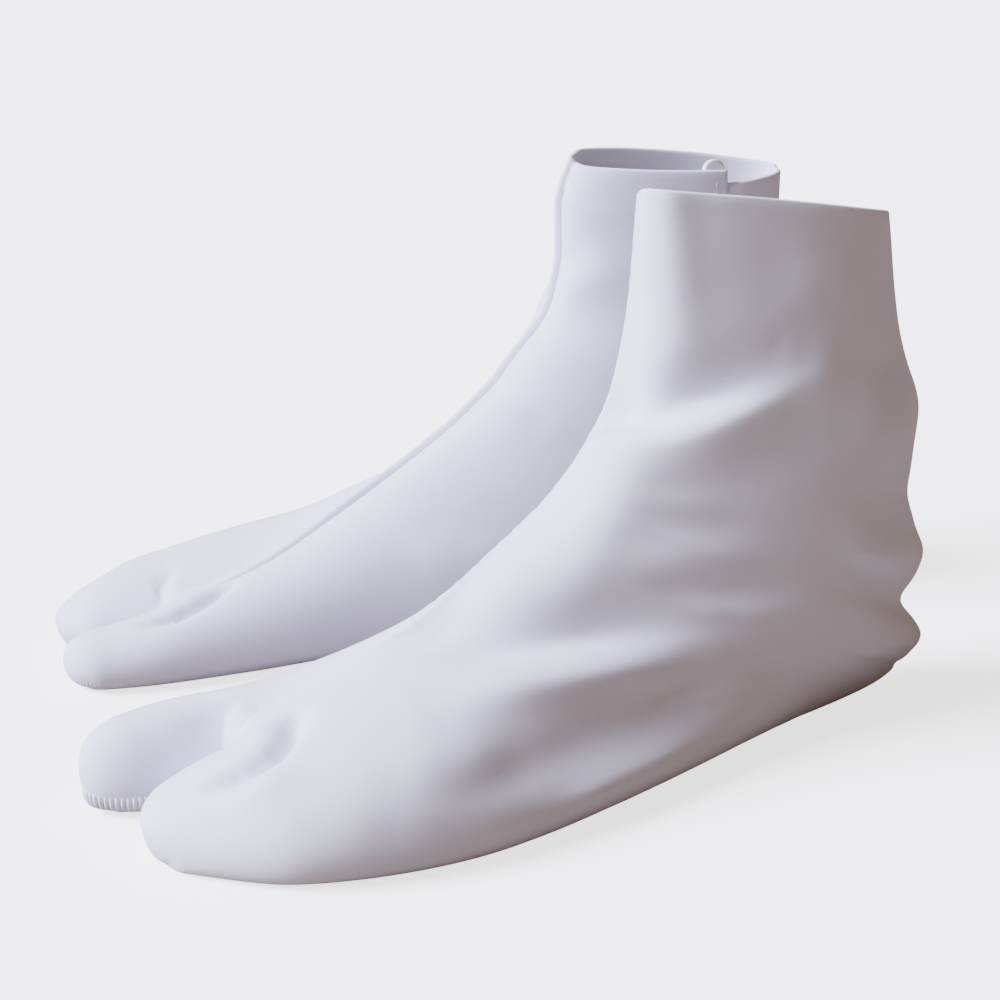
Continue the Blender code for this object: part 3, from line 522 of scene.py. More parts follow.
# the front seam: how far each panel's edge stands out or dips, by distance from the seam,
# and the puckers that its stitches draw beside it
seamProfile = {
    "places": (0.0, 0.25, 0.55, 0.95, 1.4, 1.9, 2.5, 3.2, 4.2),
    "outer": (-1.5, -0.45, 0.35, 0.75, 0.9, 0.8, 0.5, 0.2, 0.0),
    "inner": (-1.5, -0.75, -0.4, -0.2, -0.08, 0.0, 0.05, 0.03, 0.0),
    "fadeStart": 9, "fadeRows": 14.0, "closeRun": 2.5,
    "tight": 2.6, "tightColumn": 8, "tightHeight": 0.07, "longPitch": 5.3, "shortPitch": 3.1,
}
# the solid's columns: where those by the seam lie, how wide the last is, and their number
columnSettings = {"near": (0, 1.7, 3.2, 5.7, 8.2), "edge": 1.5, "count": 11}
# how far from a panel's edges and the floor its folds start, and over what run they grow
fadeSettings = {
    "run": 9.0, "puckerRun": 2.0, "closure": 3.0, "floor": 0.3, "floorRun": 7.0,
    "seeds": {"outer": 3.1, "inner": 8.7},
}


def legLine(sock, part, station):
    # where the front seam lies beside the crest, the outer panel reaches over to it
    section = legSection(sock, station)
    own, top = halfSection(section, part)
    fade = softStep((formSettings["shiftEnd"] - station) / formSettings["shiftRun"])
    shift = sock["seamShift"] * float(fade)
    if shift < 0.05:
        return own, top
    if part == "outer":
        other, _ = halfSection(section, "inner")
        reach = alongLine(other, np.linspace(shift, 0, 13)[:-1])
        return np.vstack([reach, own]), top + len(reach)
    run = runOf(own)
    places = np.concatenate([[shift + formSettings["seamGap"]], run[run > shift + 0.3]])
    return alongLine(own, places), 0


def panelLines(sock, part):
    lines = [legLine(sock, part, station) for station in legStations]
    cleftUp = sock["sections"][-1][1]
    start, end = formSettings["cleftForward"], formSettings["noseStart"]
    rows = formSettings["cleftRows"]
    for k in range(rows + 1):
        share = quarterShare(k, rows)
        forward = start - formSettings["cleftDrop"] * (1 - share)
        seamUp = cleftUp * math.sqrt(max(0.0, 1 - share ** 2)) if k < rows else 0.0
        lines.append(halfSection(toeSection(sock, forward, seamUp), part))
    rows = formSettings["toeRows"]
    lines += [halfSection(toeSection(sock, start + (end - start) * k / rows, 0.0), part)
              for k in range(1, rows + 1)]
    rows = formSettings["noseRows"]
    return lines + [noseLine(sock, part, quarterShare(k, rows)) for k in range(1, rows + 1)]


def panelPlaces(end, top):
    # places along one section, from the front seam to its other edge
    scale = min(1.0, end / formSettings["fullRun"])
    near = np.array(seamProfile["places"]) * scale
    ridge = max(top, near[-1] + formSettings["ridgeRun"] * scale)
    edge = end - np.array(formSettings["edgePlaces"]) * scale
    climb = np.linspace(near[-1], ridge, formSettings["ridgeColumns"] + 2)[1:-1]
    side = np.linspace(ridge, edge[0], formSettings["sideColumns"])
    return np.concatenate([near, climb, side, edge[1:]])


def surfaceRows(sock, part, stations, placesAt):
    rows = []
    for station in stations:
        line, _ = halfSection(legSection(sock, station), part)
        rows.append(alongLine(line, runOf(line)[-1] - np.array(placesAt(station))))
    points = np.array(rows)
    return points, gridNormals(points[:, ::-1], part)[:, ::-1]


def neckFade(station):
    row = np.interp(station, range(6), formSettings["rowsOfSolid"])
    near = row < formSettings["fadeEnd"]
    return math.exp(-(row / formSettings["fadeRows"]) ** 2) if near else 0.0


def neckArch(distances, ends):
    # the share of the neck's rise that each place takes, by the solid's columns
    near, edge, count = (columnSettings[name] for name in ("near", "edge", "count"))
    columns = np.interp(distances, near, range(len(near)))
    first, last = len(near) - 1, count - 1
    middle = (distances - near[-1]) / np.maximum(1, ends - near[-1] - edge)
    columns = np.where(distances > near[-1], first + (last - first) * middle, columns)
    fromEnd = ends - distances
    columns = np.where(fromEnd < edge, last + (edge - fromEnd) / edge, columns)
    return np.sin(math.pi * np.clip(columns, 0, count) / count)


def easeRows(points):
    # evens out the run of the sections through the forefoot, except at the cleft itself
    rows = np.arange(len(points))[:, None]
    columns = np.arange(points.shape[1])[None, :]
    toes = formSettings["cleftRows"] + formSettings["toeRows"]
    wide = softStep((rows - 90) / 20) * softStep((legRows + toes + 6 - rows) / 12)
    atCleft = softStep((rows - legRows + 12) / 10)
    weight = (0.5 * wide * (1 - atCleft * (1 - softStep((columns - 8) / 8))))[..., None]
    for _ in range(formSettings["easing"]):
        between = (points[:-2] + points[2:]) / 2
        points[1:-1] += weight[1:-1] * (between - points[1:-1])
    return points


def seamHeight(points, distances, welt, part):
    # the welt runs down the front and dies away into the cleft, puckered by its stitches
    run = np.arange(len(points))
    fade = softStep((legRows + seamProfile["fadeStart"] - run) / seamProfile["fadeRows"])[:, None]
    profile = np.interp(distances, seamProfile["places"], seamProfile[part])
    profile = profile * np.where(profile > 0, welt, 1.0)
    along = runOf(points[:, seamProfile["tightColumn"]]) * 2 * math.pi
    wave = (np.sin(along / seamProfile["longPitch"])
            + 0.6 * np.sin(along / seamProfile["shortPitch"] + 1.0))
    tight = np.exp(-(distances / seamProfile["tight"] - 1) ** 2)
    return (profile + seamProfile["tightHeight"] * wave[:, None] * tight) * fade


def panelGrid(sock, part):
    # a panel's outer face with its form, its folds, its seam and its edges, and its normals
    settings = foldSettings[sock["name"] + part]
    lines = panelLines(sock, part)
    widths = np.zeros(len(lines))
    if part == "inner":
        widths[:legRows] = [closureWidth(station) for station in legStations]
    points, distances, ends = [], [], []
    for width, (line, top) in zip(widths, lines):
        run = runOf(line)
        gap = closureSettings["gap"] * min(1.0, width / closureSettings["gapWidth"])
        end = run[-1] - (width + gap)
        ends.append([end])
        distances.append(panelPlaces(end, run[top]))
        points.append(alongLine(line, distances[-1]))
    points, distances, ends = np.array(points), np.array(distances), np.array(ends)
    rises = sock["neckRise"][part] * np.array([neckFade(station) for station in legStations])
    points[:legRows, :, 2] += rises[:, None] * neckArch(distances, ends)[:legRows]
    points = easeRows(points)
    out = gridNormals(points, part)

    fromEnd = ends - distances
    clear = np.zeros((len(points), 1))
    clear[:legRows] = fadeSettings["closure"] if part == "inner" else 0.0
    fade = (softStep(distances / fadeSettings["run"])
            * softStep((fromEnd - clear) / fadeSettings["run"]))
    floorFade = softStep((points[..., 2] - fadeSettings["floor"]) / fadeSettings["floorRun"])
    heights = foldHeight(settings, points)
    heights += settings["grain"] * grainHeight(points, fadeSettings["seeds"][part])
    heights *= fade * floorFade
    heights += ((puckerHeight(settings, points) + hollowHeight(settings, points))
                * softStep(distances / fadeSettings["puckerRun"]) * floorFade)
    heights += seamHeight(points, distances, settings["welt"], part)
    heights += (np.interp(fromEnd, *closureSettings["edge"])
                * np.minimum(1.0, widths / fadeSettings["closure"])[:, None])
    return points + out * heights[..., None], out


def wrapGrids(sock):
    # the outer panel's way round the heel, and on under the inner panel as a flap
    stations = [s for s in legStations if closureWidth(s) > closureSettings["leastWidth"]]
    flapRows = sum(legSection(sock, s)["back"][1] > closureSettings["flapLow"] for s in stations)
    shares = np.linspace(0, 1, closureSettings["wrapColumns"])
    beside = np.array(closureSettings["flapPlaces"])
    depths = np.array(closureSettings["flapDepths"])[:, None]

    def wrapPlaces(station):
        width = closureWidth(station)
        low = max(width + beside[0], 0.6 * width)
        edge = min(1.5, low * 0.3)
        lowPlaces = [low + (width - low) * t for t in (0.25, 0.5, 0.75, 1.0)]
        return [0.0, 0.4 * edge, *(edge + (low - edge) * shares), *lowPlaces]

    def flapPlaces(station):
        return closureWidth(station) + beside[4:]

    wrap, wrapOut = surfaceRows(sock, "inner", stations, wrapPlaces)
    flap, flapOut = surfaceRows(sock, "inner", stations[:flapRows], flapPlaces)
    for i, station in enumerate(stations):
        width = closureWidth(station)
        drop = sock["flapDrop"] * neckFade(station)
        wrap[i, :, 2] -= drop * np.clip(np.array(wrapPlaces(station)) / width, 0, 1)
        flap[i:i + 1, :, 2] -= drop
        part = min(1.0, max(0.0, 1 - (i - flapRows) / closureSettings["flapRun"]))
        part *= min(1.0, width / closureSettings["flapRun"])
        wrap[i, -4:] -= wrapOut[i, -4:] * (depths[1:5] * part)
    flap -= flapOut * depths[4:]
    flap[:, 0] = wrap[:flapRows, -1]
    # where two grids meet they are one cloth, so their common line takes one normal
    flapOut[:, 0] = wrapOut[:flapRows, -1]
    return wrap, wrapOut, flap, flapOut


# the folded hem round the neck: the cloth turns over the rim and runs down inside
hemSettings = {
    "turn": ((0.12, 0.28), (0.45, 0.62), (0.95, 0.75), (1.45, 0.62), (1.8, 0.28)),
    "depth": 1.9,
    "inside": (0.3, 2.0, 4.0, 6.0, 8.0, 9.5),
    "rows": 40,
}


def withHem(points, out):
    # adds the rows of the folded rim and of the hem's inner layer above the first row
    upward = unit(points[0] - points[2])
    normal = unit(out[0] - np.sum(out[0] * upward, axis=1, keepdims=True) * upward)
    rim = [points[0] - normal * depth + upward * rise for depth, rise in hemSettings["turn"]]
    columns = np.swapaxes(points[:hemSettings["rows"]], 0, 1)
    inside = np.stack([alongLine(column, hemSettings["inside"]) for column in columns], axis=1)
    inside -= normal * hemSettings["depth"]
    return np.concatenate([inside[::-1], rim[::-1], points])


def intoFrame(sock, points):
    angle = sock["mirror"] * math.radians(sock["turn"])
    x, y = sock["mirror"] * points[..., 0], -points[..., 1]
    placed = np.stack([sock["place"][0] + math.cos(angle) * x - math.sin(angle) * y,
                       sock["place"][1] + math.sin(angle) * x + math.cos(angle) * y,
                       points[..., 2]], axis=-1)
    return placed * 0.001


def clearSelection():
    bpy.ops.object.select_all(action="DESELECT")


def makeActive(piece):
    clearSelection()
    piece.select_set(True)
    bpy.context.view_layer.objects.active = piece


def joinPieces(name, pieces):
    makeActive(pieces[0])
    for piece in pieces[1:]:
        piece.select_set(True)
    if len(pieces) > 1:
        bpy.ops.object.join()
    pieces[0].name = name
    return pieces[0]


def editAll(piece, operator, **settings):
    makeActive(piece)
    bpy.ops.object.mode_set(mode="EDIT")
    bpy.ops.mesh.select_all(action="SELECT")
    operator(**settings)
    bpy.ops.object.mode_set(mode="OBJECT")


def applyPlace():
    bpy.ops.object.transform_apply(location=True, rotation=True, scale=True)


def standOn(piece, origin, along, outwards):
    # puts a piece at a point, its X along a line and its Z outwards
    along, normal = Vector(along).normalized(), Vector(outwards).normalized()
    normal = (normal - along * normal.dot(along)).normalized()
    turned = Matrix((along, normal.cross(along), normal)).transposed().to_4x4()
    piece.matrix_world = Matrix.Translation(Vector(origin)) @ turned


def gridPiece(name, sock, points, facing):
    # a flat grid is added, then its points are laid on the form, its faces outwards
    if facing * sock["mirror"] > 0:
        points = points[:, ::-1]
    rows, columns = points.shape[:2]
    clearSelection()
    bpy.ops.mesh.primitive_grid_add(x_subdivisions=columns - 1, y_subdivisions=rows - 1, size=1)
    piece = bpy.context.object
    piece.name = name
    piece.data.vertices.foreach_set("co", intoFrame(sock, points).ravel())
    # its UVs are the cloth's own, measured from its middle column, and 1 is 100 mm
    across = np.array([runOf(row) for row in points])
    across -= across[:, [columns // 2]]
    along = np.repeat(runOf(points[:, columns // 2])[:, None], columns, axis=1)
    flat = np.stack([across, along], axis=-1).reshape(-1, 2)
    layer = piece.data.uv_layers.active or piece.data.uv_layers.new(name="UVMap")
    corners = np.zeros(len(piece.data.loops), int)
    piece.data.loops.foreach_get("vertex_index", corners)
    layer.data.foreach_set("uv", (flat[corners] / 100).ravel())
    piece.data.update()
    piece.select_set(False)
    return piece


def clothPiece(name, sock, grids, facing):
    piece = joinPieces(name, [gridPiece("cloth", sock, grid, facing) for grid in grids])
    editAll(piece, bpy.ops.mesh.remove_doubles, threshold=0.00002)
    area = sum(face.area for face in piece.data.polygons)
    print("flat area, m2:", name, round(area, 5))
    return piece


def thicken(piece, thickness):
    # the wall's outer face takes the first material and the rest takes the second
    makeActive(piece)
    for _ in range(2):
        piece.data.materials.append(None)
    wall = piece.modifiers.new("Wall", "SOLIDIFY")
    wall.thickness = thickness * 0.001
    wall.offset = -1
    wall.material_offset = 1
    bpy.ops.object.modifier_apply(modifier="Wall")
    bpy.ops.object.shade_smooth()
    piece.select_set(False)


# cloth pieces: thickness in millimetres, and the flat cut of each, in metres
panelSettings = {
    "thickness": 1.0,
    "soleThickness": 1.2,
    "cuts": {
        "leftOuterPanel": (0.30, 0.26, 0.0357), "leftInnerPanel": (0.26, 0.22, 0.0206),
        "leftSole": (0.09, 0.225, 0.0089),
        "rightOuterPanel": (0.30, 0.26, 0.0347), "rightInnerPanel": (0.26, 0.22, 0.0205),
        "rightSole": (0.09, 0.225, 0.0094),
    },
}


# the sole: which rows it follows, how its loop is drawn past the panels' edges, how far
# it keeps clear of the toes' flanks, the cleft's end and the tips, and its columns
soleSettings = {
    "inset": -0.15, "firstStation": 7.5, "cleftRow": 198.5, "leastTurn": 0.4,
    "heel": (0.0, 0.6, -0.4), "flank": (0.5, 0.0, 0.0), "tip": (0.0, 1.0, 0.0),
    "outerApex": (1.2, -0.7, 0.0), "innerApex": (-1.2, -0.7, 0.0),
    "outerColumns": 9, "innerColumns": 7,
}


def closeSeam(outer, inner, rows):
    # along the front seam both panels' edges are drawn together
    places = np.array(seamProfile["places"])
    pull = softStep(1 - places / seamProfile["closeRun"])[:, None]
    apart = inner[:rows, :1] - outer[:rows, :1]
    size = np.maximum(np.linalg.norm(apart, axis=2, keepdims=True), 1e-9)
    move = apart * (1 - np.minimum(1.0, formSettings["seamGap"] / size)) / 2
    outer[:rows, :len(places)] += pull * move
    inner[:rows, :len(places)] -= pull * move


def insetLoop(loop, distance):
    # a closed flat line, drawn in by a distance
    following = unit(np.roll(loop, -1, axis=0) - loop)
    area = np.sum(loop[:, 0] * np.roll(loop[:, 1], -1) - np.roll(loop[:, 0], -1) * loop[:, 1])
    straight = (1 if area > 0 else -1) * np.c_[-following[:, 1], following[:, 0]]
    half = unit(straight + np.roll(straight, 1, axis=0))
    turn = np.sum(half * straight, axis=1, keepdims=True)
    return loop + half * distance / np.maximum(soleSettings["leastTurn"], turn)


def across(start, end, shares):
    start, end = start[:, None], end[:, None]
    return start + (end - start) * np.array(shares)[:, None]


def soleGrids(outer, inner, wrap):
    # the foot and both toes, between the panels' lower edges
    cleft = legRows + formSettings["cleftRows"]
    noseRows = formSettings["noseRows"]
    flatRow = next(k for k in range(1, noseRows + 1)
                   if quarterShare(k, noseRows) >= formSettings["noseFlat"])
    last = cleft + formSettings["toeRows"] + flatRow
    footRows = [i for i in range(legRows) if legStations[i] >= soleSettings["firstStation"]]
    footRows += [i for i in range(legRows, cleft) if outer[i, -1, 1] < soleSettings["cleftRow"]]
    footRows.append(cleft)
    toeRows = list(range(cleft + 1, last))
    heel = legStations.index(formSettings["soleStart"])
    innerEdge = np.concatenate([wrap[:, 0], inner[len(wrap):, -1]])
    flank, tip = np.array(soleSettings["flank"]), np.array(soleSettings["tip"])
    lines = [outer[[heel], -1] + soleSettings["heel"], outer[footRows + toeRows, -1],
             outer[[last], 0] - tip, outer[toeRows[::-1], 0] + flank,
             outer[[cleft], 0] + soleSettings["outerApex"],
             inner[[cleft], 0] + soleSettings["innerApex"], inner[toeRows, 0] - flank,
             inner[[last], 0] - tip, innerEdge[(footRows + toeRows)[::-1]]]
    loop = np.concatenate(lines)
    loop[:, :2] = insetLoop(loop[:, :2], soleSettings["inset"])
    (heelTip, outerSide, outerTip, outerFlank, outerApex, innerApex, innerFlank, innerTip,
     innerSide) = np.split(loop, np.cumsum([len(line) for line in lines[:-1]]))
    innerSide = innerSide[::-1]

    foot = len(footRows) - 1
    outerCount, innerCount = soleSettings["outerColumns"], soleSettings["innerColumns"]
    outerShares, innerShares = np.linspace(0, 1, outerCount), np.linspace(0, 1, innerCount)
    outerToe = across(outerSide[foot:], np.vstack([outerApex, outerFlank[::-1]]), outerShares)
    innerToe = across(np.vstack([innerApex, innerFlank]), innerSide[foot:], innerShares)
    start, width = outerSide[foot, 0], outerSide[foot, 0] - innerSide[foot, 0]
    outerPart, innerPart = ((start - apex[0, 0]) / width for apex in (outerApex, innerApex))
    shares = [*outerPart * outerShares, *innerPart + (1 - innerPart) * innerShares]
    footGrid = np.concatenate([np.repeat(heelTip[None], len(shares), axis=1),
                               across(outerSide[:foot], innerSide[:foot], shares),
                               np.concatenate([outerToe[:1], innerToe[:1]], axis=1)])
    outerToe = np.concatenate([outerToe, np.repeat(outerTip[None], outerCount, axis=1)])
    innerToe = np.concatenate([innerToe, np.repeat(innerTip[None], innerCount, axis=1)])
    return [footGrid, outerToe, innerToe], last, cleft


def buildPanels(sock):
    title = sock["name"]
    outer, outerOut = panelGrid(sock, "outer")
    inner, innerOut = panelGrid(sock, "inner")
    wrap, wrapOut, flap, flapOut = wrapGrids(sock)
    # the outer panel and its wrap are one cloth: their common line takes one normal
    shared = sum(station <= formSettings["soleStart"] for station in legStations)
    common = unit(outerOut[:shared, -1] + wrapOut[:shared, 0])
    outerOut[:shared, -1] = wrapOut[:shared, 0] = common
    soles, last, cleft = soleGrids(outer, inner, wrap)
    closeSeam(outer, inner, cleft)
    outerGrids = [withHem(outer, outerOut), withHem(wrap, wrapOut), withHem(flap, flapOut)]
    built = {"outer": clothPiece(title + "OuterPanel", sock, outerGrids, 1),
             "inner": clothPiece(title + "InnerPanel", sock, [withHem(inner, innerOut)], -1),
             "sole": clothPiece(title + "Sole", sock, soles, 1)}
    for part, piece in built.items():
        thicken(piece, panelSettings["soleThickness" if part == "sole" else "thickness"])
    for vertex in built["sole"].data.vertices:
        vertex.co.z = max(vertex.co.z, 0.0)
    return {**built, "outerGrid": outer, "innerGrid": inner, "innerOut": innerOut,
            "last": last, "cleft": cleft}


socks = {sock["name"]: (sock, buildPanels(sock)) for sock in (leftSock, rightSock)}
print("panels and soles sewn")


# four flat clasps at each closure: discs with a rolled edge and a shallow dish
claspSettings = {
    "radius": 4.2, "thickness": 1.9, "middle": 4.6, "depth": 2.7, "edge": 0.8,
    "rim": 0.22, "slope": 0.12, "dish": 0.22,     # the rim and slope are shares of the radius
}


def stationAtLevel(sock, up):
    low, high = 0.0, 6.0
    for _ in range(30):
        middle = (low + high) / 2
        if legSection(sock, middle)["back"][1] > up:
            low = middle
        else:
            high = middle
    return low


def buildClasp(sock, number, level, lift):
    middle = max(stationAtLevel(sock, level), 0.1)

    def places(station):
        return closureWidth(station) + claspSettings["middle"] + np.array((-1.0, 0.0, 1.0))

    points, out = surfaceRows(sock, "inner", (middle - 0.1, middle, middle + 0.1), places)
    centre = points[1, 1] - out[1, 1] * claspSettings["depth"] + (0, 0, lift)
    origin, ahead, above = intoFrame(sock, np.array([
        centre, centre + points[1, 2] - points[1, 0], centre + out[1, 1]]))
    radius = claspSettings["radius"] * 0.001
    clearSelection()
    bpy.ops.mesh.primitive_cylinder_add(vertices=48, radius=radius,
                                        depth=claspSettings["thickness"] * 0.001)
    clasp = bpy.context.object
    clasp.name = f"{sock['name']}Clasp{number}"
    bpy.ops.object.mode_set(mode="EDIT")
    bpy.ops.mesh.select_mode(type="FACE")
    bpy.ops.mesh.select_all(action="DESELECT")
    bpy.ops.object.mode_set(mode="OBJECT")
    for face in clasp.data.polygons:
        face.select = abs(face.normal.z) > 0.9
    bpy.ops.object.mode_set(mode="EDIT")
    bpy.ops.mesh.inset(thickness=radius * claspSettings["rim"], depth=0)
    bpy.ops.mesh.inset(thickness=radius * claspSettings["slope"],
                       depth=-claspSettings["dish"] * 0.001)
    bpy.ops.object.mode_set(mode="OBJECT")
    rounding = clasp.modifiers.new("Edge", "BEVEL")
    rounding.width = claspSettings["edge"] * 0.001
    rounding.segments = 4
    rounding.limit_method = "ANGLE"
    rounding.angle_limit = math.radians(50)
    bpy.ops.object.modifier_apply(modifier="Edge")
    bpy.ops.object.shade_smooth()
    standOn(clasp, origin, ahead - origin, above - origin)
    applyPlace()
    clasp.select_set(False)
    return clasp


clasps = {name: [buildClasp(sock, number, level, lift)
                 for number, (level, lift) in enumerate(sock["clasps"], 1)]
          for name, (sock, _) in socks.items()}
print("clasps placed")


# the gathered seam under each toe, where the panels are eased onto the sole: its section
# (reach past the panel's edge, up), drawn along a path and ribbed
toeBandSettings = {
    "from": 208.0, "pitch": 1.5, "rib": 0.7, "ribMiddle": 0.7, "ribRise": 0.2, "ribDepth": 1.5,
    "noseLess": 2.1, "noseFrom": 221, "noseRun": 7, "fullTuck": 2.4,
    "endRun": 5.0, "endTuck": 2.0, "steps": 8, "smoothing": 9,
    "outer": ((-0.9, 4.0), (0.5, 4.0), (1.2, 3.4), (1.5, 2.4), (1.5, 1.4), (1.2, 0.5),
              (0.45, 0.08), (-0.9, 0.08)),
    "inner": ((6.0, 7.2), (8.2, 7.0), (8.9, 6.4), (8.9, 5.2), (8.6, 3.8), (7.9, 2.5),
              (6.6, 1.6), (4.4, 1.2)),
}


def bandPlaces(length):
    count = int(length / toeBandSettings["pitch"] * toeBandSettings["steps"])
    return np.linspace(0, length, count)


def bandPath(built, part):
    # the toe's edge on the floor, evenly spaced and smoothed, and the way outwards from it
    grid, last = built[part + "Grid"], built["last"]
    rows = [i for i in range(built["cleft"] + 2, last)
            if grid[i, -1, 1] > toeBandSettings["from"]]
    path = np.concatenate([grid[rows, -1], grid[[last], 0], grid[rows[::-1], 0]])
    path[:, 2] = 0.0
    run = runOf(path)
    keep = np.concatenate([[True], np.diff(run) > 0.05])
    path = valuesAt(bandPlaces(run[keep][-1]), run[keep], path[keep])
    width = toeBandSettings["smoothing"]
    for c in range(2):
        padded = np.pad(path[:, c], width // 2, mode="edge")
        path[:, c] = np.convolve(padded, np.ones(width) / width, "valid")
    ahead = unit(np.gradient(path, axis=0))
    outwards = np.c_[-ahead[:, 1], ahead[:, 0], np.zeros(len(ahead))]
    facing = np.sum((path - path.mean(axis=0)) * outwards)
    return path, -outwards if facing < 0 else outwards


def buildToeBand(sock, part, built):
    settings = toeBandSettings
    path, outwards = bandPath(built, part)
    # spaced along the line where it shows, out past the sole's edge
    base = settings[part][3][0]
    nose = softStep((path[:, 1:2] - settings["noseFrom"]) / settings["noseRun"])
    shown = path + outwards * (base - settings["noseLess"] * nose)
    run = runOf(shown)
    places = bandPlaces(run[-1])
    shown, outwards = (valuesAt(places, run, rows) for rows in (shown, outwards))
    ends = softStep(np.minimum(places, run[-1] - places) / settings["endRun"])
    rib = np.abs(np.cos(places * math.pi / settings["pitch"])) - settings["ribMiddle"]
    tuck = sock["bandTuck"]
    ribHeight = settings["rib"] * rib * (1 - tuck / settings["fullTuck"])
    columns = []
    for reach, up in settings[part]:
        ribbed = ribHeight * (reach > base - settings["ribDepth"])
        away = reach - base + ribbed * ends - tuck - settings["endTuck"] * (1 - ends)
        column = shown + outwards * away[:, None]
        column[:, 2] += up + settings["ribRise"] * rib * (up > 3)
        columns.append(column)
    name = f"{sock['name']}{part.capitalize()}ToeBand"
    band = gridPiece(name, sock, np.array(columns), -signs[part])
    editAll(band, bpy.ops.mesh.normals_make_consistent, inside=False)
    bpy.ops.object.shade_smooth()
    band.select_set(False)
    return band


toeBands = {name: [buildToeBand(sock, part, built) for part in signs]
            for name, (sock, built) in socks.items()}
print("toe seams gathered")


# stitches, one made and each copied along its line, in rows beside the closure's edge
stitchSettings = {
    "length": 1.9, "thickness": 0.34, "pitch": 2.5, "sunk": 0.06,
    "rows": (2.0, 4.6), "lastStation": 11.2,
}


def firstStitch():
    clearSelection()
    bpy.ops.mesh.primitive_uv_sphere_add(segments=6, ring_count=5, radius=0.0005)
    stitch = bpy.context.object
    thickness = stitchSettings["thickness"]
    stitch.scale = (stitchSettings["length"], thickness, thickness)
    bpy.ops.object.transform_apply(location=False, rotation=False, scale=True)
    bpy.ops.object.shade_smooth()
    return stitch


def stitchLine(name, sock, path, out):
    pattern = firstStitch()
    run = runOf(path)
    pitch = stitchSettings["pitch"]
    copies = []
    for k in range(int(run[-1] / pitch)):
        place = (k + 0.5) * pitch
        before, here, after = valuesAt((place - 0.5, place, place + 0.5), run, path)
        face = valuesAt(place, run, out)
        origin, before, after, above = intoFrame(sock, np.array([
            here - face * stitchSettings["sunk"], before, after, here + face]))
        copy = pattern.copy()
        copy.data = pattern.data.copy()
        bpy.context.collection.objects.link(copy)
        standOn(copy, origin, after - before, above - origin)
        copies.append(copy)
    bpy.data.objects.remove(pattern, do_unlink=True)
    line = joinPieces(name, copies)
    applyPlace()
    line.select_set(False)
    return line


def closureStitches(sock, built):
    # from below the hem to the closure's lower end
    lines = []
    rows = [i for i, station in enumerate(legStations) if station < stitchSettings["lastStation"]]
    for number, inset in enumerate(stitchSettings["rows"], 1):
        path, out = [], []
        for i in rows:
            run = runOf(built["innerGrid"][i])
            for line, grid in ((path, "innerGrid"), (out, "innerOut")):
                line.append(valuesAt(run[-1] - inset, run, built[grid][i]))
        lines.append(stitchLine(f"{sock['name']}ClosureStitches{number}", sock,
                                np.array(path), np.array(out)))
    return lines


closureLines = {name: closureStitches(sock, built) for name, (sock, built) in socks.items()}
print("closures stitched")


# finishes: stretch tricot with fine knit wales and a soft sheen, a lighter, warmer copy of it with
# painted light for the inner faces, thread, and resin
tricotSettings = {
    "colour": (0.78, 0.775, 0.89), "shade": (0.74, 0.73, 0.84),
    "roughness": 0.82, "sheen": 0.25, "sheenRoughness": 0.4, "specular": 0.25,
    "wale": 0.55, "knitDepth": 0.00003, "slackDepth": 0.0001,
}
# the inner faces' tricot is lighter and warmer than the outer: painted light, standing for light
# that comes through the thin cloth and bounces inside the neck
insideWithPaintedLightSettings = dict(tricotSettings, colour=(0.95, 0.92, 0.89), shade=(0.93, 0.895, 0.86))
threadSettings = {"colour": (0.82, 0.81, 0.85), "roughness": 0.7, "ply": 900, "depth": 0.00003}
resinSettings = {
    "colour": (0.93, 0.93, 0.91), "cloud": 0.95, "cloudScale": 300,
    "roughness": 0.32, "coat": 0.25, "coatRoughness": 0.2,
}


def feed(tree, node, inputs):
    # an input is given its number, or a link from what feeds it
    for name, value in inputs.items():
        if isinstance(value, bpy.types.NodeSocket):
            tree.links.new(value, node.inputs[name])
        else:
            node.inputs[name].default_value = value


def addNode(tree, kind, inputs, output=0, **settings):
    node = tree.nodes.new("ShaderNode" + kind)
    for name, value in settings.items():
        setattr(node, name, value)
    feed(tree, node, inputs)
    return node.outputs[output]


def newMaterial(name, inputs):
    material = bpy.data.materials.new(name)
    material.use_nodes = True
    tree = material.node_tree
    shader = tree.nodes["Principled BSDF"]
    feed(tree, shader, inputs)
    return material, tree, shader


def tricotMaterial(name, settings):
    material, tree, shader = newMaterial(name, {
        "Roughness": settings["roughness"], "Sheen Weight": settings["sheen"],
        "Sheen Roughness": settings["sheenRoughness"],
        "Specular IOR Level": settings["specular"]})
    place = addNode(tree, "TexCoord", {}, "Object")
    clothPlace = place.node.outputs["UV"]

    def spots(scale, detail):
        inputs = {"Vector": place, "Scale": scale, "Detail": detail}
        return addNode(tree, "TexNoise", inputs, "Fac")

    mottle = spots(26, 3)
    tint = addNode(tree, "Mix", {"Factor": mottle, "A": (*settings["colour"], 1),
                                 "B": (*settings["shade"], 1)}, "Result", data_type="RGBA")
    # knit: fine wales across, finer courses along, on the cloth's own UVs (1 is 100 mm)
    density = 100 / settings["wale"] / (20 / math.pi)
    wale = addNode(tree, "TexWave", {"Vector": clothPlace, "Scale": density * 2,
                                     "Distortion": 0.8, "Detail": 1}, "Fac")
    course = addNode(tree, "TexWave", {"Vector": clothPlace, "Scale": density * 2.6,
                                       "Distortion": 1.2}, "Fac", bands_direction="Y")
    stitch = addNode(tree, "Math", {0: course, 1: 0.5, 2: wale}, operation="MULTIPLY_ADD")
    surface = addNode(tree, "Math", {0: stitch, 1: spots(1400, 2)}, operation="ADD")
    knit = addNode(tree, "Bump", {"Strength": 0.5, "Distance": settings["knitDepth"],
                                  "Height": surface})
    loose = addNode(tree, "Bump", {"Strength": 0.6, "Distance": settings["slackDepth"],
                                   "Height": spots(140, 2), "Normal": knit})
    feed(tree, shader, {"Base Color": tint, "Normal": loose})
    return material


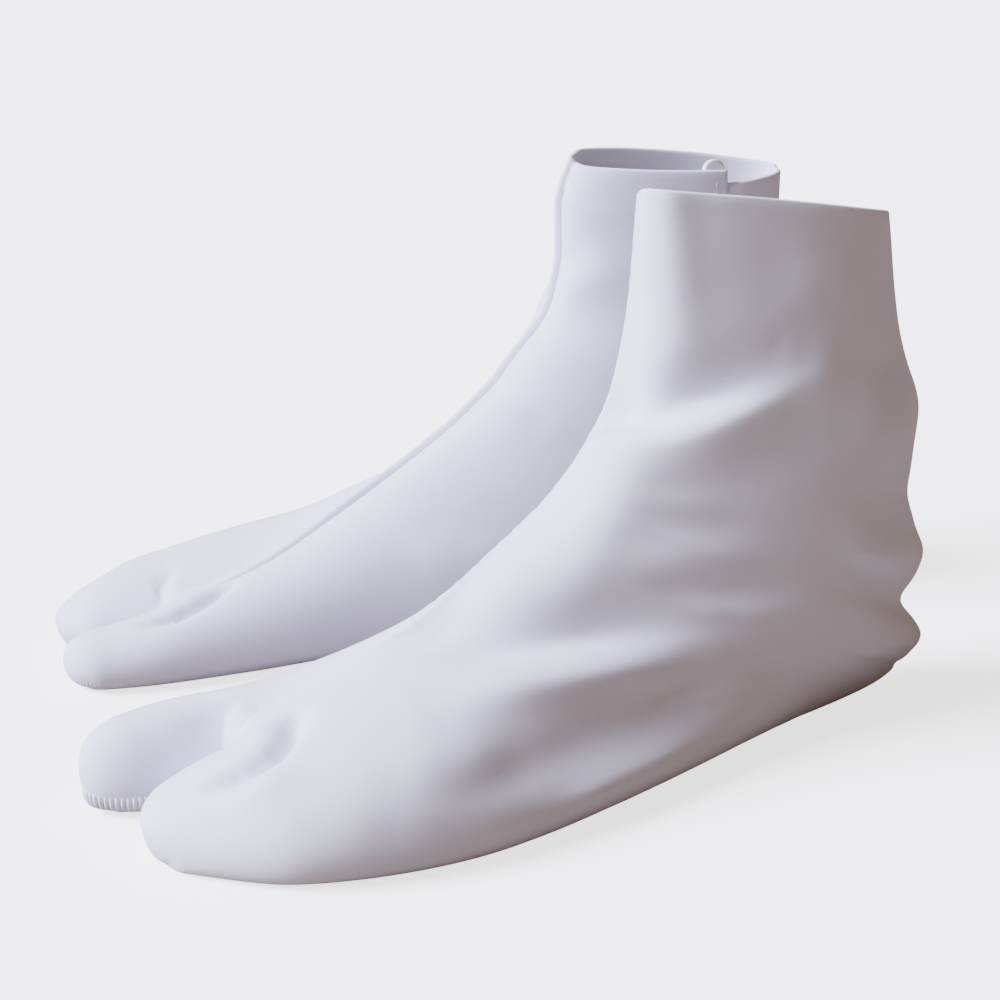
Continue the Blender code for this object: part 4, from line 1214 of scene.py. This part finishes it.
def threadMaterial(settings):
    material, tree, shader = newMaterial("thread", {
        "Base Color": (*settings["colour"], 1), "Roughness": settings["roughness"]})
    place = addNode(tree, "TexCoord", {}, "Object")
    ply = addNode(tree, "TexWave", {"Vector": place, "Scale": settings["ply"]}, "Fac",
                  bands_direction="DIAGONAL")
    bump = addNode(tree, "Bump", {"Distance": settings["depth"], "Height": ply})
    feed(tree, shader, {"Normal": bump})
    return material


def resinMaterial(settings):
    material, tree, shader = newMaterial("claspResin", {
        "Roughness": settings["roughness"], "Coat Weight": settings["coat"],
        "Coat Roughness": settings["coatRoughness"]})
    place = addNode(tree, "TexCoord", {}, "Object")
    cloud = addNode(tree, "TexNoise", {"Vector": place, "Scale": settings["cloudScale"]}, "Fac")
    ramp = addNode(tree, "ValToRGB", {"Fac": cloud}, "Color")
    for element, share in zip(ramp.node.color_ramp.elements, (settings["cloud"], 1)):
        element.color = (*[c * share for c in settings["colour"]], 1)
    feed(tree, shader, {"Base Color": ramp})
    return material


tricot = tricotMaterial("tricot", tricotSettings)
insideWithPaintedLight = tricotMaterial("insideWithPaintedLight", insideWithPaintedLightSettings)
thread = threadMaterial(threadSettings)
claspResin = resinMaterial(resinSettings)


def finish(piece, material, inside=None):
    # inside is the material of the inner faces, here the tricot copy lightened with painted light
    if inside:
        piece.data.materials[0], piece.data.materials[1] = material, inside
    else:
        piece.data.materials.clear()
        piece.data.materials.append(material)
    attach(piece, "root")


for name, (sock, built) in socks.items():
    for part, node in (("outer", "outer_panel"), ("inner", "inner_panel"), ("sole", "sole")):
        # the inner faces take the tricot copy with painted light through the cloth
        finish(built[part], tricot, insideWithPaintedLight)
        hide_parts(f"{name}_{node}")
    for number, clasp in enumerate(clasps[name], 1):
        finish(clasp, claspResin)
        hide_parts(f"{name}_clasp_{number}")
    for band in toeBands[name]:
        finish(band, tricot)
    for line in closureLines[name]:
        finish(line, thread)


# studio: a pale floor, a wide cool key from beyond the toes, a dim warm fill all round
studioSettings = {
    "floor": (0.93, 0.93, 0.94), "floorRoughness": 0.9, "floorBounce": (0.26, 0.22, 0.18),
    "floorGlow": 2.4, "glowColour": (1, 0.99, 0.98), "floorSize": 80, "floorUp": -0.0002,
    "world": (1.0, 0.68, 0.42), "worldStrength": 0.23, "backdrop": 4.6,
    "key": {"from": (-0.14, -0.80, 0.57), "spread": 32, "power": 16.8,
            "colour": (0.74, 0.765, 1.0)},
}


def addLight(name, settings):
    direction = Vector(settings["from"])
    bpy.ops.object.light_add(type="SUN", location=direction)
    light = bpy.context.object
    light.name = name
    light.data.angle = math.radians(settings["spread"])
    light.data.energy = settings["power"]
    light.data.color = settings["colour"]
    light.rotation_euler = direction.to_track_quat("Z", "Y").to_euler()
    light.select_set(False)


def splitForCamera(tree, output, lights, shows):
    # the camera sees one shader, and the other lights the rest
    ray = addNode(tree, "LightPath", {}, "Is Camera Ray")
    either = addNode(tree, "MixShader", {"Fac": ray, 1: lights, 2: shows})
    feed(tree, tree.nodes[output], {"Surface": either})


def buildStudio(settings):
    clearSelection()
    bpy.ops.mesh.primitive_plane_add(size=settings["floorSize"],
                                     location=(0, 0, settings["floorUp"]))
    floor = bpy.context.object
    floor.name = "paleFloor"
    applyPlace()
    # it looks pale but throws little light back up, as a floor well below the key does
    material, tree, shader = newMaterial("paleFloor", {
        "Base Color": (*settings["floor"], 1), "Roughness": settings["floorRoughness"],
        "Emission Color": (*settings["glowColour"], 1),
        "Emission Strength": settings["floorGlow"]})
    bounce = addNode(tree, "BsdfDiffuse", {"Color": (*settings["floorBounce"], 1)})
    splitForCamera(tree, "Material Output", bounce, shader.outputs["BSDF"])
    floor.data.materials.append(material)
    world = bpy.data.worlds.new("studioLight")
    bpy.context.scene.world = world
    world.use_nodes = True
    tree = world.node_tree
    background = tree.nodes["Background"]
    feed(tree, background, {"Color": (*settings["world"], 1),
                            "Strength": settings["worldStrength"]})
    backdrop = addNode(tree, "Background", {"Color": (1, 1, 1, 1),
                                            "Strength": settings["backdrop"]})
    splitForCamera(tree, "World Output", background.outputs["Background"], backdrop)
    addLight("keyLight", settings["key"])


buildStudio(studioSettings)
print("studio lit")
